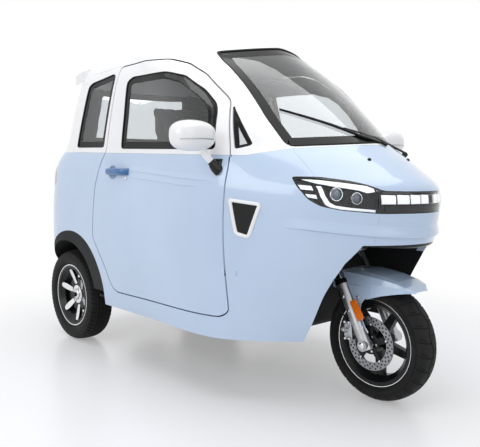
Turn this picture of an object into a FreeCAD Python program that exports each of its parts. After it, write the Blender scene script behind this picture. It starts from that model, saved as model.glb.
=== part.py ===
import FreeCAD, Part
import math
import os

# Cabin tricycle: one steered front wheel in a fork, two rear wheels, closed two-door cabin.
# Millimetres. +X points forward, +Y to the left, +Z up. The origin is on the ground.

V = FreeCAD.Vector

# Running gear
front_axle_x = 877.5
rear_axle_x = -812.5
front_tyre_r = 243.0
front_tyre_width = 128.0
front_lip_r = 179.0
rear_tyre_r = 247.0
rear_tyre_width = 135.0
rear_lip_r = 169.0
rear_wheel_outer_y = 530.0
rake = math.radians(28.0)
fork_offset = 38.0
fork_leg_y = 98.0
stanchion_r = 16.5
slider_r = 24.0
brake_disc_r = 110.0
axle_r = 8.0

# Body shell
skin = 30.0
glass_depth = 6.0
glass_thickness = 5.0
panel_gap = 0.6
door_gap = 5.5
belt_rear_z = 1034.0
belt_front_z = 1002.0
sill_z = 262.0
nose_seam_y = 200.0
wide = 900.0
hood_seam_y = 338.0
rear_seam_y = 400.0

# Sections of the shell at each height: z, foremost x, x where the nose taper starts, half width, rearmost x
stations = [
    (240, 850, 400, 530, -1080),
    (340, 903, 400, 546, -1094),
    (455, 957, 400, 556, -1100),
    (560, 1021, 400, 561, -1100),
    (664, 1071, 400, 562, -1096),
    (760, 1093, 400, 561, -1090),
    (850, 1098, 400, 557, -1084),
    (884, 1082, 400, 555, -1084),
    (930, 1019, 395, 552, -1076),
    (970, 959, 386, 549, -1050),
    (1004, 907, 373, 547, -1014),
    (1036, 859, 355, 543, -974),
    (1083, 806, 330, 537, -940),
    (1149, 735, 293, 527, -924),
    (1255, 615, 223, 509, -904),
    (1343, 505, 145, 491, -886),
    (1415, 410, 20, 470, -868),
    (1467, 336, -100, 444, -850),
    (1510, 268, -200, 408, -828),
    (1570, 150, -300, 330, -780),
    (1640, -20, -380, 210, -700),
]
levels = [row[0] for row in stations]
front_pull = (0.25, 0.45)
rear_pull = (0.62, 0.70)
rear_taper = 200.0
nose_steps = 7
rear_steps = 7
side_shares = (0.15, 0.4, 0.7)

# Roof: height of the ridge along x, and how the crown falls to the sides
ridge = [(-1000, 1520), (-900, 1546), (-800, 1565), (-650, 1583), (-480, 1591), (-280, 1587),
         (-100, 1574), (100, 1548), (250, 1515), (400, 1462), (560, 1385)]
crown = 0.00054


def hermite(table, at, column):
    """Smooth curve through the stations, with the mean slope at each one."""
    keys = [row[0] for row in table]
    values = [row[column] for row in table]
    last = len(keys) - 1
    if at <= keys[0]:
        start_slope = (values[1] - values[0]) / (keys[1] - keys[0])
        return values[0] + start_slope * (at - keys[0])
    if at >= keys[last]:
        end_slope = (values[last] - values[last - 1]) / (keys[last] - keys[last - 1])
        return values[last] + end_slope * (at - keys[last])

    def slope(i):
        low = max(i - 1, 0)
        high = min(i + 1, last)
        return (values[high] - values[low]) / (keys[high] - keys[low])

    i = max(k for k in range(last) if keys[k] <= at)
    width = keys[i + 1] - keys[i]
    t = (at - keys[i]) / width
    return ((1 + 2 * t) * (1 - t) ** 2 * values[i] + t * (1 - t) ** 2 * width * slope(i)
            + t * t * (3 - 2 * t) * values[i + 1] + t * t * (t - 1) * width * slope(i + 1))


def quarter(t, pull):
    """Unit quarter curve from (0, 1) to (1, 0), flat at both ends."""
    along = 3 * pull[0] * t * (1 - t) ** 2 + 3 * t * t * (1 - t) + t ** 3
    across = (1 - t) ** 3 + 3 * (1 - t) ** 2 * t + 3 * pull[1] * (1 - t) * t * t
    return along, across


def even_quarter(pull, length, width, steps):
    """Points of the quarter curve at even distances, from its end back to its start."""
    count = 200
    fine = [quarter(1 - k / count, pull) for k in range(count + 1)]
    reach = [0.0]
    for a, b in zip(fine, fine[1:]):
        reach.append(reach[-1] + math.hypot((b[0] - a[0]) * length, (b[1] - a[1]) * width))
    result = []
    for k in range(steps + 1):
        wanted = reach[-1] * k / steps
        nearest = min(range(count + 1), key=lambda j: abs(reach[j] - wanted))
        result.append(fine[nearest])
    return result


def section(z, inset):
    """Plan outline of the shell at one height, from the rear centre round the right side to the nose."""
    front = hermite(stations, z, 1) - inset
    taper = hermite(stations, z, 2)
    half = hermite(stations, z, 3) - inset
    rear = hermite(stations, z, 4) + inset
    start = rear + rear_taper
    points = []
    for along, across in even_quarter(rear_pull, start - rear, half, rear_steps):
        points.append(V(start - (start - rear) * along, -half * across, z))
    for share in side_shares:
        points.append(V(start + (taper - start) * share, -half, z))
    for k in range(nose_steps + 1):
        along, across = quarter(k / nose_steps, front_pull)
        points.append(V(taper + (front - taper) * along, -half * across, z))
    return points


def full_section(z, inset):
    right = section(z, inset)
    left = [V(p.x, -p.y, p.z) for p in reversed(right[:-1])]
    return right + left


def tube(inset):
    """Solid inside the shell's side surface, moved in by the inset."""
    surface = Part.BSplineSurface()
    surface.interpolate([full_section(z, inset) for z in levels])
    u0, u1, v0, v1 = surface.bounds()
    middle = (v0 + v1) / 2
    halves = []
    for low, high in ((v0, middle), (middle, v1)):
        part = surface.copy()
        part.segment(u0, u1, low, high)
        halves.append(part.toShape())
    caps = []
    for end in (0, -1):
        height = levels[end]
        edges = [e for h in halves for e in h.Edges
                 if abs(e.BoundBox.ZMax - height) < 0.5 and abs(e.BoundBox.ZMin - height) < 0.5]
        rim = Part.Wire(Part.__sortEdges__(edges))
        caps.append(Part.Face(Part.Plane(V(0, 0, height), V(0, 0, 1)), rim))
    shell = Part.Shell(halves + caps)
    shell.sewShape()
    solid = Part.Solid(shell)
    if solid.Volume < 0:
        solid.reverse()
    return solid


def under_roof(inset):
    """Solid below the crowned roof surface, moved down by the inset."""
    rows = []
    for i in range(18):
        x = -1150 + 150 * i
        top = hermite(ridge, x, 1) - inset
        rows.append([V(x, y, top - crown * y * y) for y in (-660, -500, -340, -170, 0, 170, 340, 500, 660)])
    surface = Part.BSplineSurface()
    surface.interpolate(rows)
    return surface.toShape().extrude(V(0, 0, -1700))


def prism_y(outline, y_from, y_to):
    """Solid with a side-view outline of (x, z) points."""
    points = [V(x, y_from, z) for x, z in outline]
    wire = Part.makePolygon(points + points[:1])
    return Part.Face(wire).extrude(V(0, y_to - y_from, 0))


def prism_x(outline, x_from, x_to):
    points = [V(x_from, y, z) for y, z in outline]
    wire = Part.makePolygon(points + points[:1])
    return Part.Face(wire).extrude(V(x_to - x_from, 0, 0))


def box(x0, x1, y0, y1, z0, z1):
    return Part.makeBox(x1 - x0, y1 - y0, z1 - z0, V(x0, y0, z0))


def rod(start, end, radius):
    axis = end - start
    return Part.makeCylinder(radius, axis.Length, start, axis)


def mirrored(shape):
    return shape.mirror(V(0, 0, 0), V(0, 1, 0))


def rounded(outline, radius):
    """Side-view outline with its corners cut to short arcs, as (x, z) points."""
    result = []
    count = len(outline)
    for k in range(count):
        before = FreeCAD.Vector(outline[k - 1][0], outline[k - 1][1], 0)
        here = FreeCAD.Vector(outline[k][0], outline[k][1], 0)
        after = FreeCAD.Vector(outline[(k + 1) % count][0], outline[(k + 1) % count][1], 0)
        back = (before - here)
        ahead = (after - here)
        reach = min(radius, back.Length / 2, ahead.Length / 2)
        first = here + back.normalize() * reach
        last = here + ahead.normalize() * reach
        for t in (0.0, 0.33, 0.67, 1.0):
            spot = first * (1 - t) ** 2 + here * (2 * t * (1 - t)) + last * t * t
            result.append((spot.x, spot.y))
    return result


def grown(outline, amount):
    """Outline offset outwards by an amount."""
    wire = Part.makePolygon([V(x, z, 0) for x, z in outline + outline[:1]])
    offset = wire.makeOffset2D(amount, 2)
    points = [(v.Point.x, v.Point.y) for v in offset.OrderedVertexes]
    return points


def prism_z(outline, z_from, z_to):
    points = [V(x, y, z_from) for x, y in outline]
    wire = Part.makePolygon(points + points[:1])
    return Part.Face(wire).extrude(V(0, 0, z_to - z_from))


def upright(x, y, z_low, z_high, radius):
    return Part.makeCylinder(radius, z_high - z_low, V(x, y, z_low))


def revolve(profile, center):
    """Ring or disc from a half section of (distance along the axis, radius) points, about an axle along Y."""
    points = [V(0, y, r) for y, r in profile]
    face = Part.Face(Part.makePolygon(points + points[:1]))
    solid = face.revolve(V(0, 0, 0), V(0, 1, 0), 360)
    solid.translate(center)
    return solid


parts = {}

# Body shell volumes
outer = tube(0).common(under_roof(0))
inner = tube(skin).common(under_roof(skin))
shell = outer.cut(inner)
glass_outer = tube(glass_depth).common(under_roof(glass_depth))
glass_inner = tube(glass_depth + glass_thickness).common(under_roof(glass_depth + glass_thickness))
glass_shell = glass_outer.cut(glass_inner)
lamp_depth = 26.0
lamp_back = tube(lamp_depth)
lining = tube(skin + panel_gap)
cabin = lining.common(under_roof(skin + panel_gap))
bumper_depth = 19.8
outside = tube(-panel_gap)

belt = [(-1400, belt_rear_z), (-900, belt_rear_z), (560, belt_front_z), (680, 1027), (870, 1046), (1300, 1046)]
below_belt = prism_y(belt + [(1300, 0), (-1400, 0)], -wide, wide)
above_belt = prism_y([(x, z + panel_gap) for x, z in belt] + [(1300, 1800), (-1400, 1800)], -wide, wide)

door_outline = rounded([(-285, 348), (480, 358), (514, 384), (514, 998), (508, 1000), (412, 1228),
                        (347, 1281), (263, 1347), (150, 1404), (40, 1433), (-130, 1443), (-345, 1438),
                        (-352, 1300), (-362, 1030), (-414, 966), (-458, 864), (-475, 738), (-486, 600),
                        (-390, 483), (-325, 371)], 24)
window_outline = rounded([(-232, 1040), (-240, 1200), (-258, 1358), (-215, 1380), (60, 1376), (190, 1345),
                          (306, 1276), (373, 1216), (392, 1183), (442, 1026)], 18)
quarter_outline = rounded([(-660, 1053), (-622, 1368), (-590, 1386), (-400, 1412), (-376, 1402), (-374, 1376),
                           (-392, 1049)], 16)
triangle_outline = rounded([(432, 1205), (566, 1042), (514, 1026)], 12)
windscreen_outline = rounded([(-343, 1035), (-346, 1149), (-336, 1255), (-328, 1343), (-314, 1415), (-286, 1468),
                              (0, 1500), (286, 1468), (314, 1415), (328, 1343), (336, 1255), (346, 1149),
                              (343, 1035), (0, 1052)], 20)
rear_window_outline = rounded([(-330, 1090), (-300, 1380), (300, 1380), (330, 1090)], 40)
arch_center = V(-725, 0, 300)
arch_r = 315.0
flare_inner_center = V(-775, 0, 293)
flare_inner_r = 265.0
nose_opening = [(-232, 664), (-266, 593), (-280, 523), (-288, 455), (-300, 262), (-300, 100),
                (300, 100), (300, 262), (288, 455), (280, 523), (266, 593), (232, 664)]

# The door turns about a pin inside its front edge, which is rolled round that pin up to the mirror's height
hinge_x = 482.0
hinge_y = 520.0
door_edge_r = 30.0
rolled_top_z = 998.0


def beyond_edge(radius):
    """Everything ahead of the hinge pin and farther from it than the rolled edge."""
    ahead = box(hinge_x, hinge_x + 200, -wide, -200, 0, rolled_top_z)
    return ahead.cut(upright(hinge_x, -hinge_y, 0, rolled_top_z, radius))


right_side = box(-1400, 1400, -wide, -1, 0, 2000)
door_opening = prism_y(grown(door_outline, door_gap), -wide, -250).cut(beyond_edge(door_edge_r + door_gap))
door_block = prism_y(door_outline, -wide, -250).cut(beyond_edge(door_edge_r))
window_block = prism_y(window_outline, -wide, -250)
quarter_block = prism_y(quarter_outline, -wide, -250)
triangle_block = prism_y(triangle_outline, -wide, -250)
windscreen_block = prism_x(windscreen_outline, 60, 1200)
rear_window_block = prism_x(rear_window_outline, -1200, -600)
arch_block = Part.makeCylinder(arch_r, 700, V(arch_center.x, -wide, arch_center.z), V(0, 1, 0))
nose_block = prism_x(nose_opening, 500, 1400)

# Lamp band across the nose, as a front-view outline
lamp_half = [(-396, 922), (-396, 884), (-378, 838), (-350, 811), (-300, 796), (-200, 784)]
lamp_top = [(-330, 921), (-260, 906), (-218, 890), (-186, 870), (-90, 867)]
lamp_outline = rounded(lamp_half + [(-y, z) for y, z in reversed(lamp_half)]
                       + [(-y, z) for y, z in lamp_top] + list(reversed(lamp_top)), 12)
lamp_block = prism_x(lamp_outline, 600, 1400)
light_bar_half = 205.0

# Lower body
lower = shell.common(below_belt).cut(box(-1400, 1400, -wide, wide, 0, sill_z))
lower = lower.cut(nose_block).cut(lamp_block)
middle_strip = box(700, 1400, -nose_seam_y, nose_seam_y, 600, 860)
hood_zone = box(640, 1400, -hood_seam_y, hood_seam_y, 862, 1200)
parts["hood"] = lower.common(hood_zone)
parts["nose_band"] = lower.common(middle_strip)
rear_zone = box(-1400, -900, -rear_seam_y, rear_seam_y, 0, 1200)
rear_cut = box(-1400, -900, -rear_seam_y - panel_gap, rear_seam_y + panel_gap, 0, 1200)
rear_opening = box(-1400, -900, -rear_seam_y - 1, rear_seam_y + 1, 0, 400)
parts["rear_panel"] = lower.common(rear_zone).cut(rear_opening)
side = lower.common(right_side).cut(rear_cut)
side = side.cut(box(640 - panel_gap, 1400, -hood_seam_y - panel_gap, 0, 862, 1200))
side = side.cut(box(700, 1400, -nose_seam_y - panel_gap, 0, 600, 870))
side = side.cut(door_opening).cut(arch_block)
parts["side_panel_right"] = side
parts["side_panel_left"] = mirrored(side)

# Upper body
upper = shell.common(above_belt)
hatch_zone = box(-1400, -700, -rear_seam_y, rear_seam_y, 900, 1392)
hatch_cut = box(-1400, -700, -rear_seam_y - panel_gap, rear_seam_y + panel_gap, 900, 1392 + panel_gap)
parts["rear_hatch"] = upper.common(hatch_zone).cut(rear_window_block)
quarter_top = [(-340, 1448), (-352, 1446), (-612, 1428), (-648, 1390), (-720, 1376), (-1400, 1376)]
quarter_zone = prism_y([(-1400, 900), (-340, 900)] + quarter_top, -wide, -1)
quarter_cut = prism_y([(-1400, 900), (-340, 900)] + [(x, z + panel_gap) for x, z in quarter_top], -wide, 0)
quarter_panel = upper.common(quarter_zone).cut(hatch_cut).cut(quarter_block).cut(door_opening)
parts["quarter_right"] = quarter_panel
parts["quarter_left"] = mirrored(quarter_panel)
roof = upper.cut(hatch_cut).cut(windscreen_block)
for turn in (lambda s: s, mirrored):
    roof = roof.cut(turn(quarter_cut)).cut(turn(door_opening)).cut(turn(triangle_block))

# Lip over the rear window: a slab under the crown, pointed in side view and bowed in plan
lip_side = [(-760, 1400), (-800, 1384), (-880, 1392), (-918, 1452), (-906, 1475), (-936, 1530), (-900, 1600),
            (-760, 1600)]
lip_plan = [(-760, -436), (-862, -436), (-905, -410), (-930, -200), (-934, 0), (-930, 200), (-905, 410),
            (-862, 436), (-760, 436)]
lip_depth = 52.0
lip = under_roof(0).cut(under_roof(lip_depth)).common(prism_z(lip_plan, 1300, 1600))
lip = lip.common(prism_y(lip_side, -wide, wide)).cut(tube(skin).common(box(-1400, 0, -wide, wide, 0, 2000)))
parts["roof"] = roof.fuse(lip)

# Glass
parts["windscreen"] = glass_shell.common(windscreen_block)
parts["rear_window"] = glass_shell.common(rear_window_block)
fixed_right = glass_shell.common(quarter_block).fuse(glass_shell.common(triangle_block))
parts["fixed_windows"] = Part.makeCompound(fixed_right.Solids + mirrored(fixed_right).Solids)

# Doors
door = shell.common(door_block)
door_panel = door.common(below_belt)
door_frame = door.common(above_belt).cut(window_block)
door_glass = glass_shell.common(window_block).common(door_block)
for name, shape in (("door_panel", door_panel), ("door_frame", door_frame), ("door_glass", door_glass)):
    parts[name + "_right"] = shape
    parts[name + "_left"] = mirrored(shape)

# Door hinges: a lug on the side panel holds the pin inside the door's front edge
hinge_heights = (540.0, 830.0)
pin_r = 5.0
pin_half = 22.0
pin_clearance = 0.05
lug_r = 9.0
lug_half_height = 10.0
slot_half_height = 13.0
lug_inner_y = 480.0
arm_outer_y = 492.0
arm_half_width = 7.0
foot_front_x = 560.0
foot_outer_y = 515.0
for z in hinge_heights:
    low = z - lug_half_height
    high = z + lug_half_height
    lug = upright(hinge_x, -hinge_y, low, high, lug_r)
    lug = lug.fuse(box(hinge_x - arm_half_width, hinge_x + arm_half_width, -hinge_y, -lug_inner_y, low, high))
    lug = lug.fuse(box(hinge_x - arm_half_width, foot_front_x, -arm_outer_y, -lug_inner_y, low, high))
    lug = lug.fuse(box(foot_front_x - 20, foot_front_x, -foot_outer_y, -lug_inner_y, low, high))
    lug = lug.cut(upright(hinge_x, -hinge_y, low - 1, high + 1, pin_r + pin_clearance))
    slot = box(hinge_x - 12, hinge_x + 40, -hinge_y - 10.5, -400, z - slot_half_height, z + slot_half_height)
    pin = upright(hinge_x, -hinge_y, z - pin_half, z + pin_half, pin_r)
    parts["side_panel_right"] = parts["side_panel_right"].fuse(lug)
    parts["door_panel_right"] = parts["door_panel_right"].cut(slot).fuse(pin)
parts["side_panel_left"] = mirrored(parts["side_panel_right"])
parts["door_panel_left"] = mirrored(parts["door_panel_right"])

# Lamps
lamps = outer.cut(lamp_back).common(lamp_block)
bar_zone = box(700, 1400, -light_bar_half, light_bar_half, 700, 1000)
bar_cut = box(700, 1400, -light_bar_half - panel_gap, light_bar_half + panel_gap, 700, 1000)
parts["light_bar"] = lamps.common(bar_zone)
parts["headlights"] = lamps.cut(bar_cut)

tail_inner_y = 424.0
tail_outline = [(-1300, 850), (-900, 858), (-886, 874), (-892, 946), (-906, 960), (-1300, 960)]
tail_block = prism_y(tail_outline, -wide, -tail_inner_y)
tail_right = outer.cut(lamp_back).common(tail_block)
parts["tail_lamps"] = Part.makeCompound(tail_right.Solids + mirrored(tail_right).Solids)
tail_recess = prism_y(grown(tail_outline, panel_gap), -wide, panel_gap - tail_inner_y)
for side_name, turn in (("right", lambda s: s), ("left", mirrored)):
    key = "side_panel_" + side_name
    trimmed = parts[key].cut(turn(tail_recess)).cut(box(-1400, -960, -wide, wide, 0, 402))
    parts[key] = trimmed

# Rear bumper bar and the number plate carrier's holes
bumper_bar = tube(-bumper_depth).cut(outside).common(box(-1400, -700, -395, 395, 410, 505))
parts["rear_bumper"] = bumper_bar
plate_hole_spacing = 180.0
plate_hole_r = 3.3
plate_z = 640.0
plate_holes = [rod(V(-1200, s * plate_hole_spacing / 2, plate_z), V(-1000, s * plate_hole_spacing / 2, plate_z),
                   plate_hole_r) for s in (-1, 1)]
parts["rear_panel"] = parts["rear_panel"].cut(tail_recess).cut(mirrored(tail_recess))
for hole in plate_holes:
    parts["rear_panel"] = parts["rear_panel"].cut(hole)
tyre_clearance = 12.0
tyre_inner_y = rear_wheel_outer_y - rear_tyre_width - tyre_clearance
tyre_room = rod(V(rear_axle_x, -wide, rear_tyre_r), V(rear_axle_x, -tyre_inner_y, rear_tyre_r),
                rear_tyre_r + tyre_clearance)
parts["rear_panel"] = parts["rear_panel"].cut(tyre_room).cut(mirrored(tyre_room))

# Rear wheel arches: black flare in the panel and a wheelhouse behind it
house_wall = 6.0
house_inner_y = 374.0


def arch_cylinder(center, radius, y_outer, y_inner):
    return Part.makeCylinder(radius, y_outer - y_inner, V(center.x, -y_outer, center.z), V(0, 1, 0))


flare_face = outer.cut(lining).common(arch_cylinder(arch_center, arch_r - panel_gap, wide, 300))
flare_face = flare_face.cut(box(-1400, 0, -wide, wide, 0, 330))
flare_face = flare_face.cut(box(-1400, 0, -rear_seam_y - panel_gap, wide, 0, 800))
house = arch_cylinder(flare_inner_center, flare_inner_r + house_wall, 545, house_inner_y).common(lining)
flare_room = arch_cylinder(flare_inner_center, flare_inner_r, wide, house_inner_y + house_wall)
flare = flare_face.fuse(house).cut(flare_room)
flare = flare.cut(box(-1400, 0, -wide, wide, 0, 330))
half_shaft_slot = box(rear_axle_x - 60, rear_axle_x + 60, -420, -300, 0, 420)
flare = flare.cut(half_shaft_slot).cut(tyre_room)
parts["rear_arch_right"] = flare
parts["rear_arch_left"] = mirrored(flare)

# Frame: two rails that rise over the rear axle, cross members and the steering head
rail_y = 260.0
rail_w = 40.0
rear_rail_z = 378.0
floor_z = 285.0
floor_thickness = 12.0


rail_h = 44.0
rail_front_x = 520.0
rise_x = -560.0
rail_rear_x = -1030.0


def rail(side, x_from, x_to, z_low, z_high):
    return box(x_from, x_to, side * rail_y - rail_w / 2, side * rail_y + rail_w / 2, z_low, z_high)


def cross(x, z_low):
    """Cross member between the two rails."""
    half = rail_y - rail_w / 2
    return box(x, x + rail_w, -half - 1, half + 1, z_low, z_low + rail_h)


axis_dir = V(-math.sin(rake), 0, math.cos(rake))
axle_point = V(front_axle_x, 0, front_tyre_r)
axis_foot = axle_point - V(math.cos(rake), 0, math.sin(rake)) * fork_offset


def on_axis(s):
    """Point on the steering axis, a distance up from the foot."""
    return axis_foot + axis_dir * s


def on_leg(s, side):
    return axle_point + axis_dir * s + V(0, side * fork_leg_y, 0)


stem_r = 22.0
stem_clearance = 0.05
head_r = 31.0
yoke_s = 408.0
yoke_half = 15.0
head_low = yoke_s + yoke_half + 11
head_high = 640.0
frame_joint = 0.05
low_rail_z = floor_z - rail_h
frame = cross(rail_front_x - rail_w, low_rail_z).fuse(cross(-60, low_rail_z)).fuse(cross(rise_x, low_rail_z))
rear_frame = cross(rise_x, rear_rail_z).fuse(cross(rail_rear_x, rear_rail_z))
for side in (-1, 1):
    frame = frame.fuse(rail(side, rise_x, rail_front_x, low_rail_z, floor_z))
    rise = rail(side, rise_x, rise_x + rail_w, floor_z + frame_joint, rear_rail_z + rail_h)
    rear_rail = rail(side, rail_rear_x, rise_x, rear_rail_z, rear_rail_z + rail_h)
    rear_frame = rear_frame.fuse(rise).fuse(rear_rail)
head_tubes = [(V(545, side * 18, 748), V(500, side * 240, 268), 17) for side in (-1, 1)]
head_tubes += [(V(552, side * 14, 716), V(515, side * 150, 560), 12) for side in (-1, 1)]
head = rod(on_axis(head_low), on_axis(head_high), head_r)
for start, end, radius in head_tubes:
    head = head.fuse(rod(start, end, radius))
head = head.cut(rod(on_axis(head_low - 20), on_axis(head_high + 20), stem_r + stem_clearance))
parts["steering_head"] = head.cut(frame)
lug_half = 9.0
hitch_eye_r = 8.0
eye_center = V(-1090, 0, rear_rail_z - 8)
hitch_lug = box(-1110, rail_rear_x + 10, -lug_half, lug_half, eye_center.z - 20, eye_center.z + 20)
hitch_eye = rod(eye_center - V(0, 40, 0), eye_center + V(0, 40, 0), hitch_eye_r)
rear_frame = rear_frame.fuse(hitch_lug).cut(hitch_eye)
parts["frame"] = frame
parts["rear_frame"] = rear_frame

# Floor, rear deck and the seat box with the battery inside
riser_x = rise_x + rail_w + 0.3
floor = lining.common(box(riser_x, 500, -600, 600, floor_z + 0.3, floor_z + floor_thickness))
deck_z = rear_rail_z + rail_h + 0.3
deck = lining.common(box(-1080, riser_x + floor_thickness, -365, 365, deck_z, deck_z + floor_thickness))
deck_top_z = deck_z + floor_thickness
riser = lining.common(box(riser_x, riser_x + floor_thickness, -365, 365, floor_z + 0.3, deck_top_z))
floor = floor.fuse(deck).fuse(riser)
for start, end, radius in head_tubes:
    floor = floor.cut(rod(start, end, radius + 0.4))
parts["floor"] = floor
box_low = floor_z + floor_thickness
seat_box = box(-330, 90, -230, 230, box_low + 0.5, 490).cut(box(-320, 80, -220, 220, box_low - 1, 480))
parts["seat_box"] = seat_box
parts["battery"] = box(-300, 60, -200, 200, box_low + 0.5, 460)

# Seats
cushion = box(-345, 110, -235, 235, 490.3, 590)
back_profile = [(-345, 560), (-255, 590), (-315, 1000), (-345, 1190), (-395, 1290), (-455, 1290), (-440, 1120),
                (-420, 900)]
front_back = prism_y(rounded(back_profile, 40), -225, 225)
parts["seat_front"] = cushion.fuse(front_back)
rear_cushion = box(-790, -470, -345, 345, deck_z + floor_thickness + 0.3, 560)
rear_back_profile = [(-850, 560), (-740, 560), (-765, 980), (-830, 1010)]
rear_back = prism_y(rounded(rear_back_profile, 30), -345, 345)
parts["seat_rear"] = rear_cushion.fuse(rear_back)

# Front wheelhouse, between the side panels and under the nose
liner_wall = 6.0
liner_rear_x = 563.0
liner_inner = prism_x(nose_opening, liner_rear_x, 1400)
liner_outer = prism_x(grown(nose_opening, liner_wall), liner_rear_x - liner_wall, 1400)
liner = liner_outer.cut(liner_inner).cut(box(500, 1400, -wide, wide, 0, sill_z + 8)).common(lining)
liner = liner.cut(rod(on_axis(400), on_axis(700), head_r + 14))
parts["front_wheelhouse"] = liner

# Dashboard across the cabin, with a slot for the steering column
dash_profile = [(520, 700), (500, 760), (492, 850), (520, 905), (590, 950), (700, 975), (790, 975), (790, 955),
                (700, 955), (600, 925), (545, 885), (525, 850), (532, 760), (545, 700)]
dash = prism_y(rounded(dash_profile, 14), -600, 600).common(cabin)
dash = dash.cut(rod(on_axis(500), on_axis(1000), stem_r + 26))
door_clear = prism_y(grown(door_outline, door_gap + 3), -wide, -460)
dash = dash.cut(door_clear).cut(mirrored(door_clear))
for start, end, radius in head_tubes:
    dash = dash.cut(rod(start, end, radius + 1.0))
for z in hinge_heights:
    hinge_room = box(hinge_x - 20, foot_front_x + 15, -600, -lug_inner_y + 15, z - lug_r - 11, z + lug_r + 11)
    dash = dash.cut(hinge_room).cut(mirrored(hinge_room))
parts["dashboard"] = dash

# Rear axle with its motor and drum back plates, on two leaf springs
axle_z = rear_tyre_r
rear_y = rear_wheel_outer_y - rear_tyre_width / 2
spindle_r = 12.5
back_plate_y = 352.0
axle = rod(V(rear_axle_x, -back_plate_y, axle_z), V(rear_axle_x, back_plate_y, axle_z), 30)
axle = axle.fuse(rod(V(rear_axle_x, -72, axle_z), V(rear_axle_x, 72, axle_z), 88))
axle = axle.fuse(rod(V(rear_axle_x + 150, 40, axle_z + 22), V(rear_axle_x + 150, 225, axle_z + 22), 68))
axle = axle.fuse(box(rear_axle_x, rear_axle_x + 150, 42, 66, axle_z - 40, axle_z + 62))

def axle_piece(y_from, y_to, radius):
    return rod(V(rear_axle_x, y_from, axle_z), V(rear_axle_x, y_to, axle_z), radius)


for side in (-1, 1):
    plate_y = side * back_plate_y
    axle = axle.fuse(axle_piece(plate_y, plate_y + side * 12, 96))
    axle = axle.fuse(axle_piece(plate_y, side * (rear_wheel_outer_y - 22), spindle_r))
parts["rear_axle"] = axle

leaf_w = 46.0
leaf_t = 8.0
leaf_seat_z = axle_z + 30 + 26


def leaf(half_length, layer, y):
    """One leaf: a strip bent in an arc, lowest over the axle."""
    low = leaf_seat_z - leaf_t * layer
    rise = half_length ** 2 / 900.0

    def arc(drop):
        return Part.Arc(V(rear_axle_x - half_length, y, low + rise + drop), V(rear_axle_x, y, low + drop),
                        V(rear_axle_x + half_length, y, low + rise + drop)).toShape()

    upper = arc(0.0)
    lower = arc(-leaf_t)
    sides = [Part.makeLine(upper.Vertexes[k].Point, lower.Vertexes[k].Point) for k in (0, 1)]
    wire = Part.Wire(Part.__sortEdges__([upper, lower] + sides))
    return Part.Face(wire).extrude(V(0, leaf_w, 0))


springs = []
for side in (-1, 1):
    y = side * rail_y - leaf_w / 2
    stack = leaf(230, 0, y).fuse(leaf(165, 1, y)).fuse(leaf(100, 2, y))
    stack = stack.fuse(box(rear_axle_x - 32, rear_axle_x + 32, y, y + leaf_w, axle_z + 29, leaf_seat_z + 6).cut(
        rod(V(rear_axle_x, -400, axle_z), V(rear_axle_x, 400, axle_z), 30 + 0.3)))
    for end in (-1, 1):
        eye_x = rear_axle_x + end * 222
        eye_z = leaf_seat_z + 222 ** 2 / 900.0
        stack = stack.fuse(box(eye_x - 11, eye_x + 11, y, y + leaf_w, eye_z - 6, rear_rail_z - 0.3))
    springs.append(stack)
parts["leaf_springs"] = Part.makeCompound([s for stack in springs for s in stack.Solids])

# Wheels
rim_gap = 0.3
flange = 14.0
flange_wall = 6.0


def spoke(inner_r, outer_r, inner_w, outer_w, face_in, face_out, thickness):
    """Upright spoke, tapered in width and slanted from its inner to its outer face height."""
    points = [V(-inner_w / 2, face_in, inner_r), V(inner_w / 2, face_in, inner_r),
              V(outer_w / 2, face_out, outer_r), V(-outer_w / 2, face_out, outer_r)]
    return Part.Face(Part.makePolygon(points + points[:1])).extrude(V(0, thickness, 0))


def wheel_rim(lip_r, width, spokes, hub_face, hub_r, bore_r, hub_length):
    """Rim centred on its own middle plane, its face towards -Y."""
    count, first_angle, width_in, width_out, face_in, face_out, thickness = spokes
    seat_r = lip_r - flange
    half = width / 2
    edge = half - flange_wall
    profile = [(-half, lip_r), (-half, seat_r - 4), (-half + 26, seat_r - 26), (half - 22, seat_r - 26),
               (half, seat_r - 4), (half, lip_r), (edge, lip_r), (edge, seat_r), (edge - 20, seat_r - 20),
               (24 - edge, seat_r - 20), (-edge, seat_r), (-edge, lip_r)]
    rim = revolve(profile, V(0, 0, 0))
    for k in range(count):
        arm = spoke(hub_r - 6, seat_r - 14, width_in, width_out, face_in, face_out, thickness)
        arm.rotate(V(0, 0, 0), V(0, 1, 0), first_angle + 360.0 / count * k)
        rim = rim.fuse(arm)
    rim = rim.fuse(rod(V(0, hub_face, 0), V(0, hub_face + hub_length, 0), hub_r))
    return rim.cut(rod(V(0, -200, 0), V(0, 200, 0), bore_r))


def tyre_solid(radius, width, lip_r, rim_width, roundness):
    """Tyre with its crown rounded more or less, its beads inside the rim's flanges."""
    seat_r = lip_r - flange + rim_gap
    half = width / 2
    bead = rim_width / 2 - flange_wall - rim_gap
    drop = roundness * half
    profile = [(-bead, seat_r), (-bead, lip_r + 1), (-half + 5, lip_r + 12), (-half, (radius + lip_r) / 2),
               (-half + 5, radius - drop - 10), (-half * 0.74, radius - drop * 0.62),
               (-half * 0.4, radius - drop * 0.18), (0, radius)]
    right = [(-y, r) for y, r in reversed(profile[:-1])]
    return revolve(profile + right, V(0, 0, 0))


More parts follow.
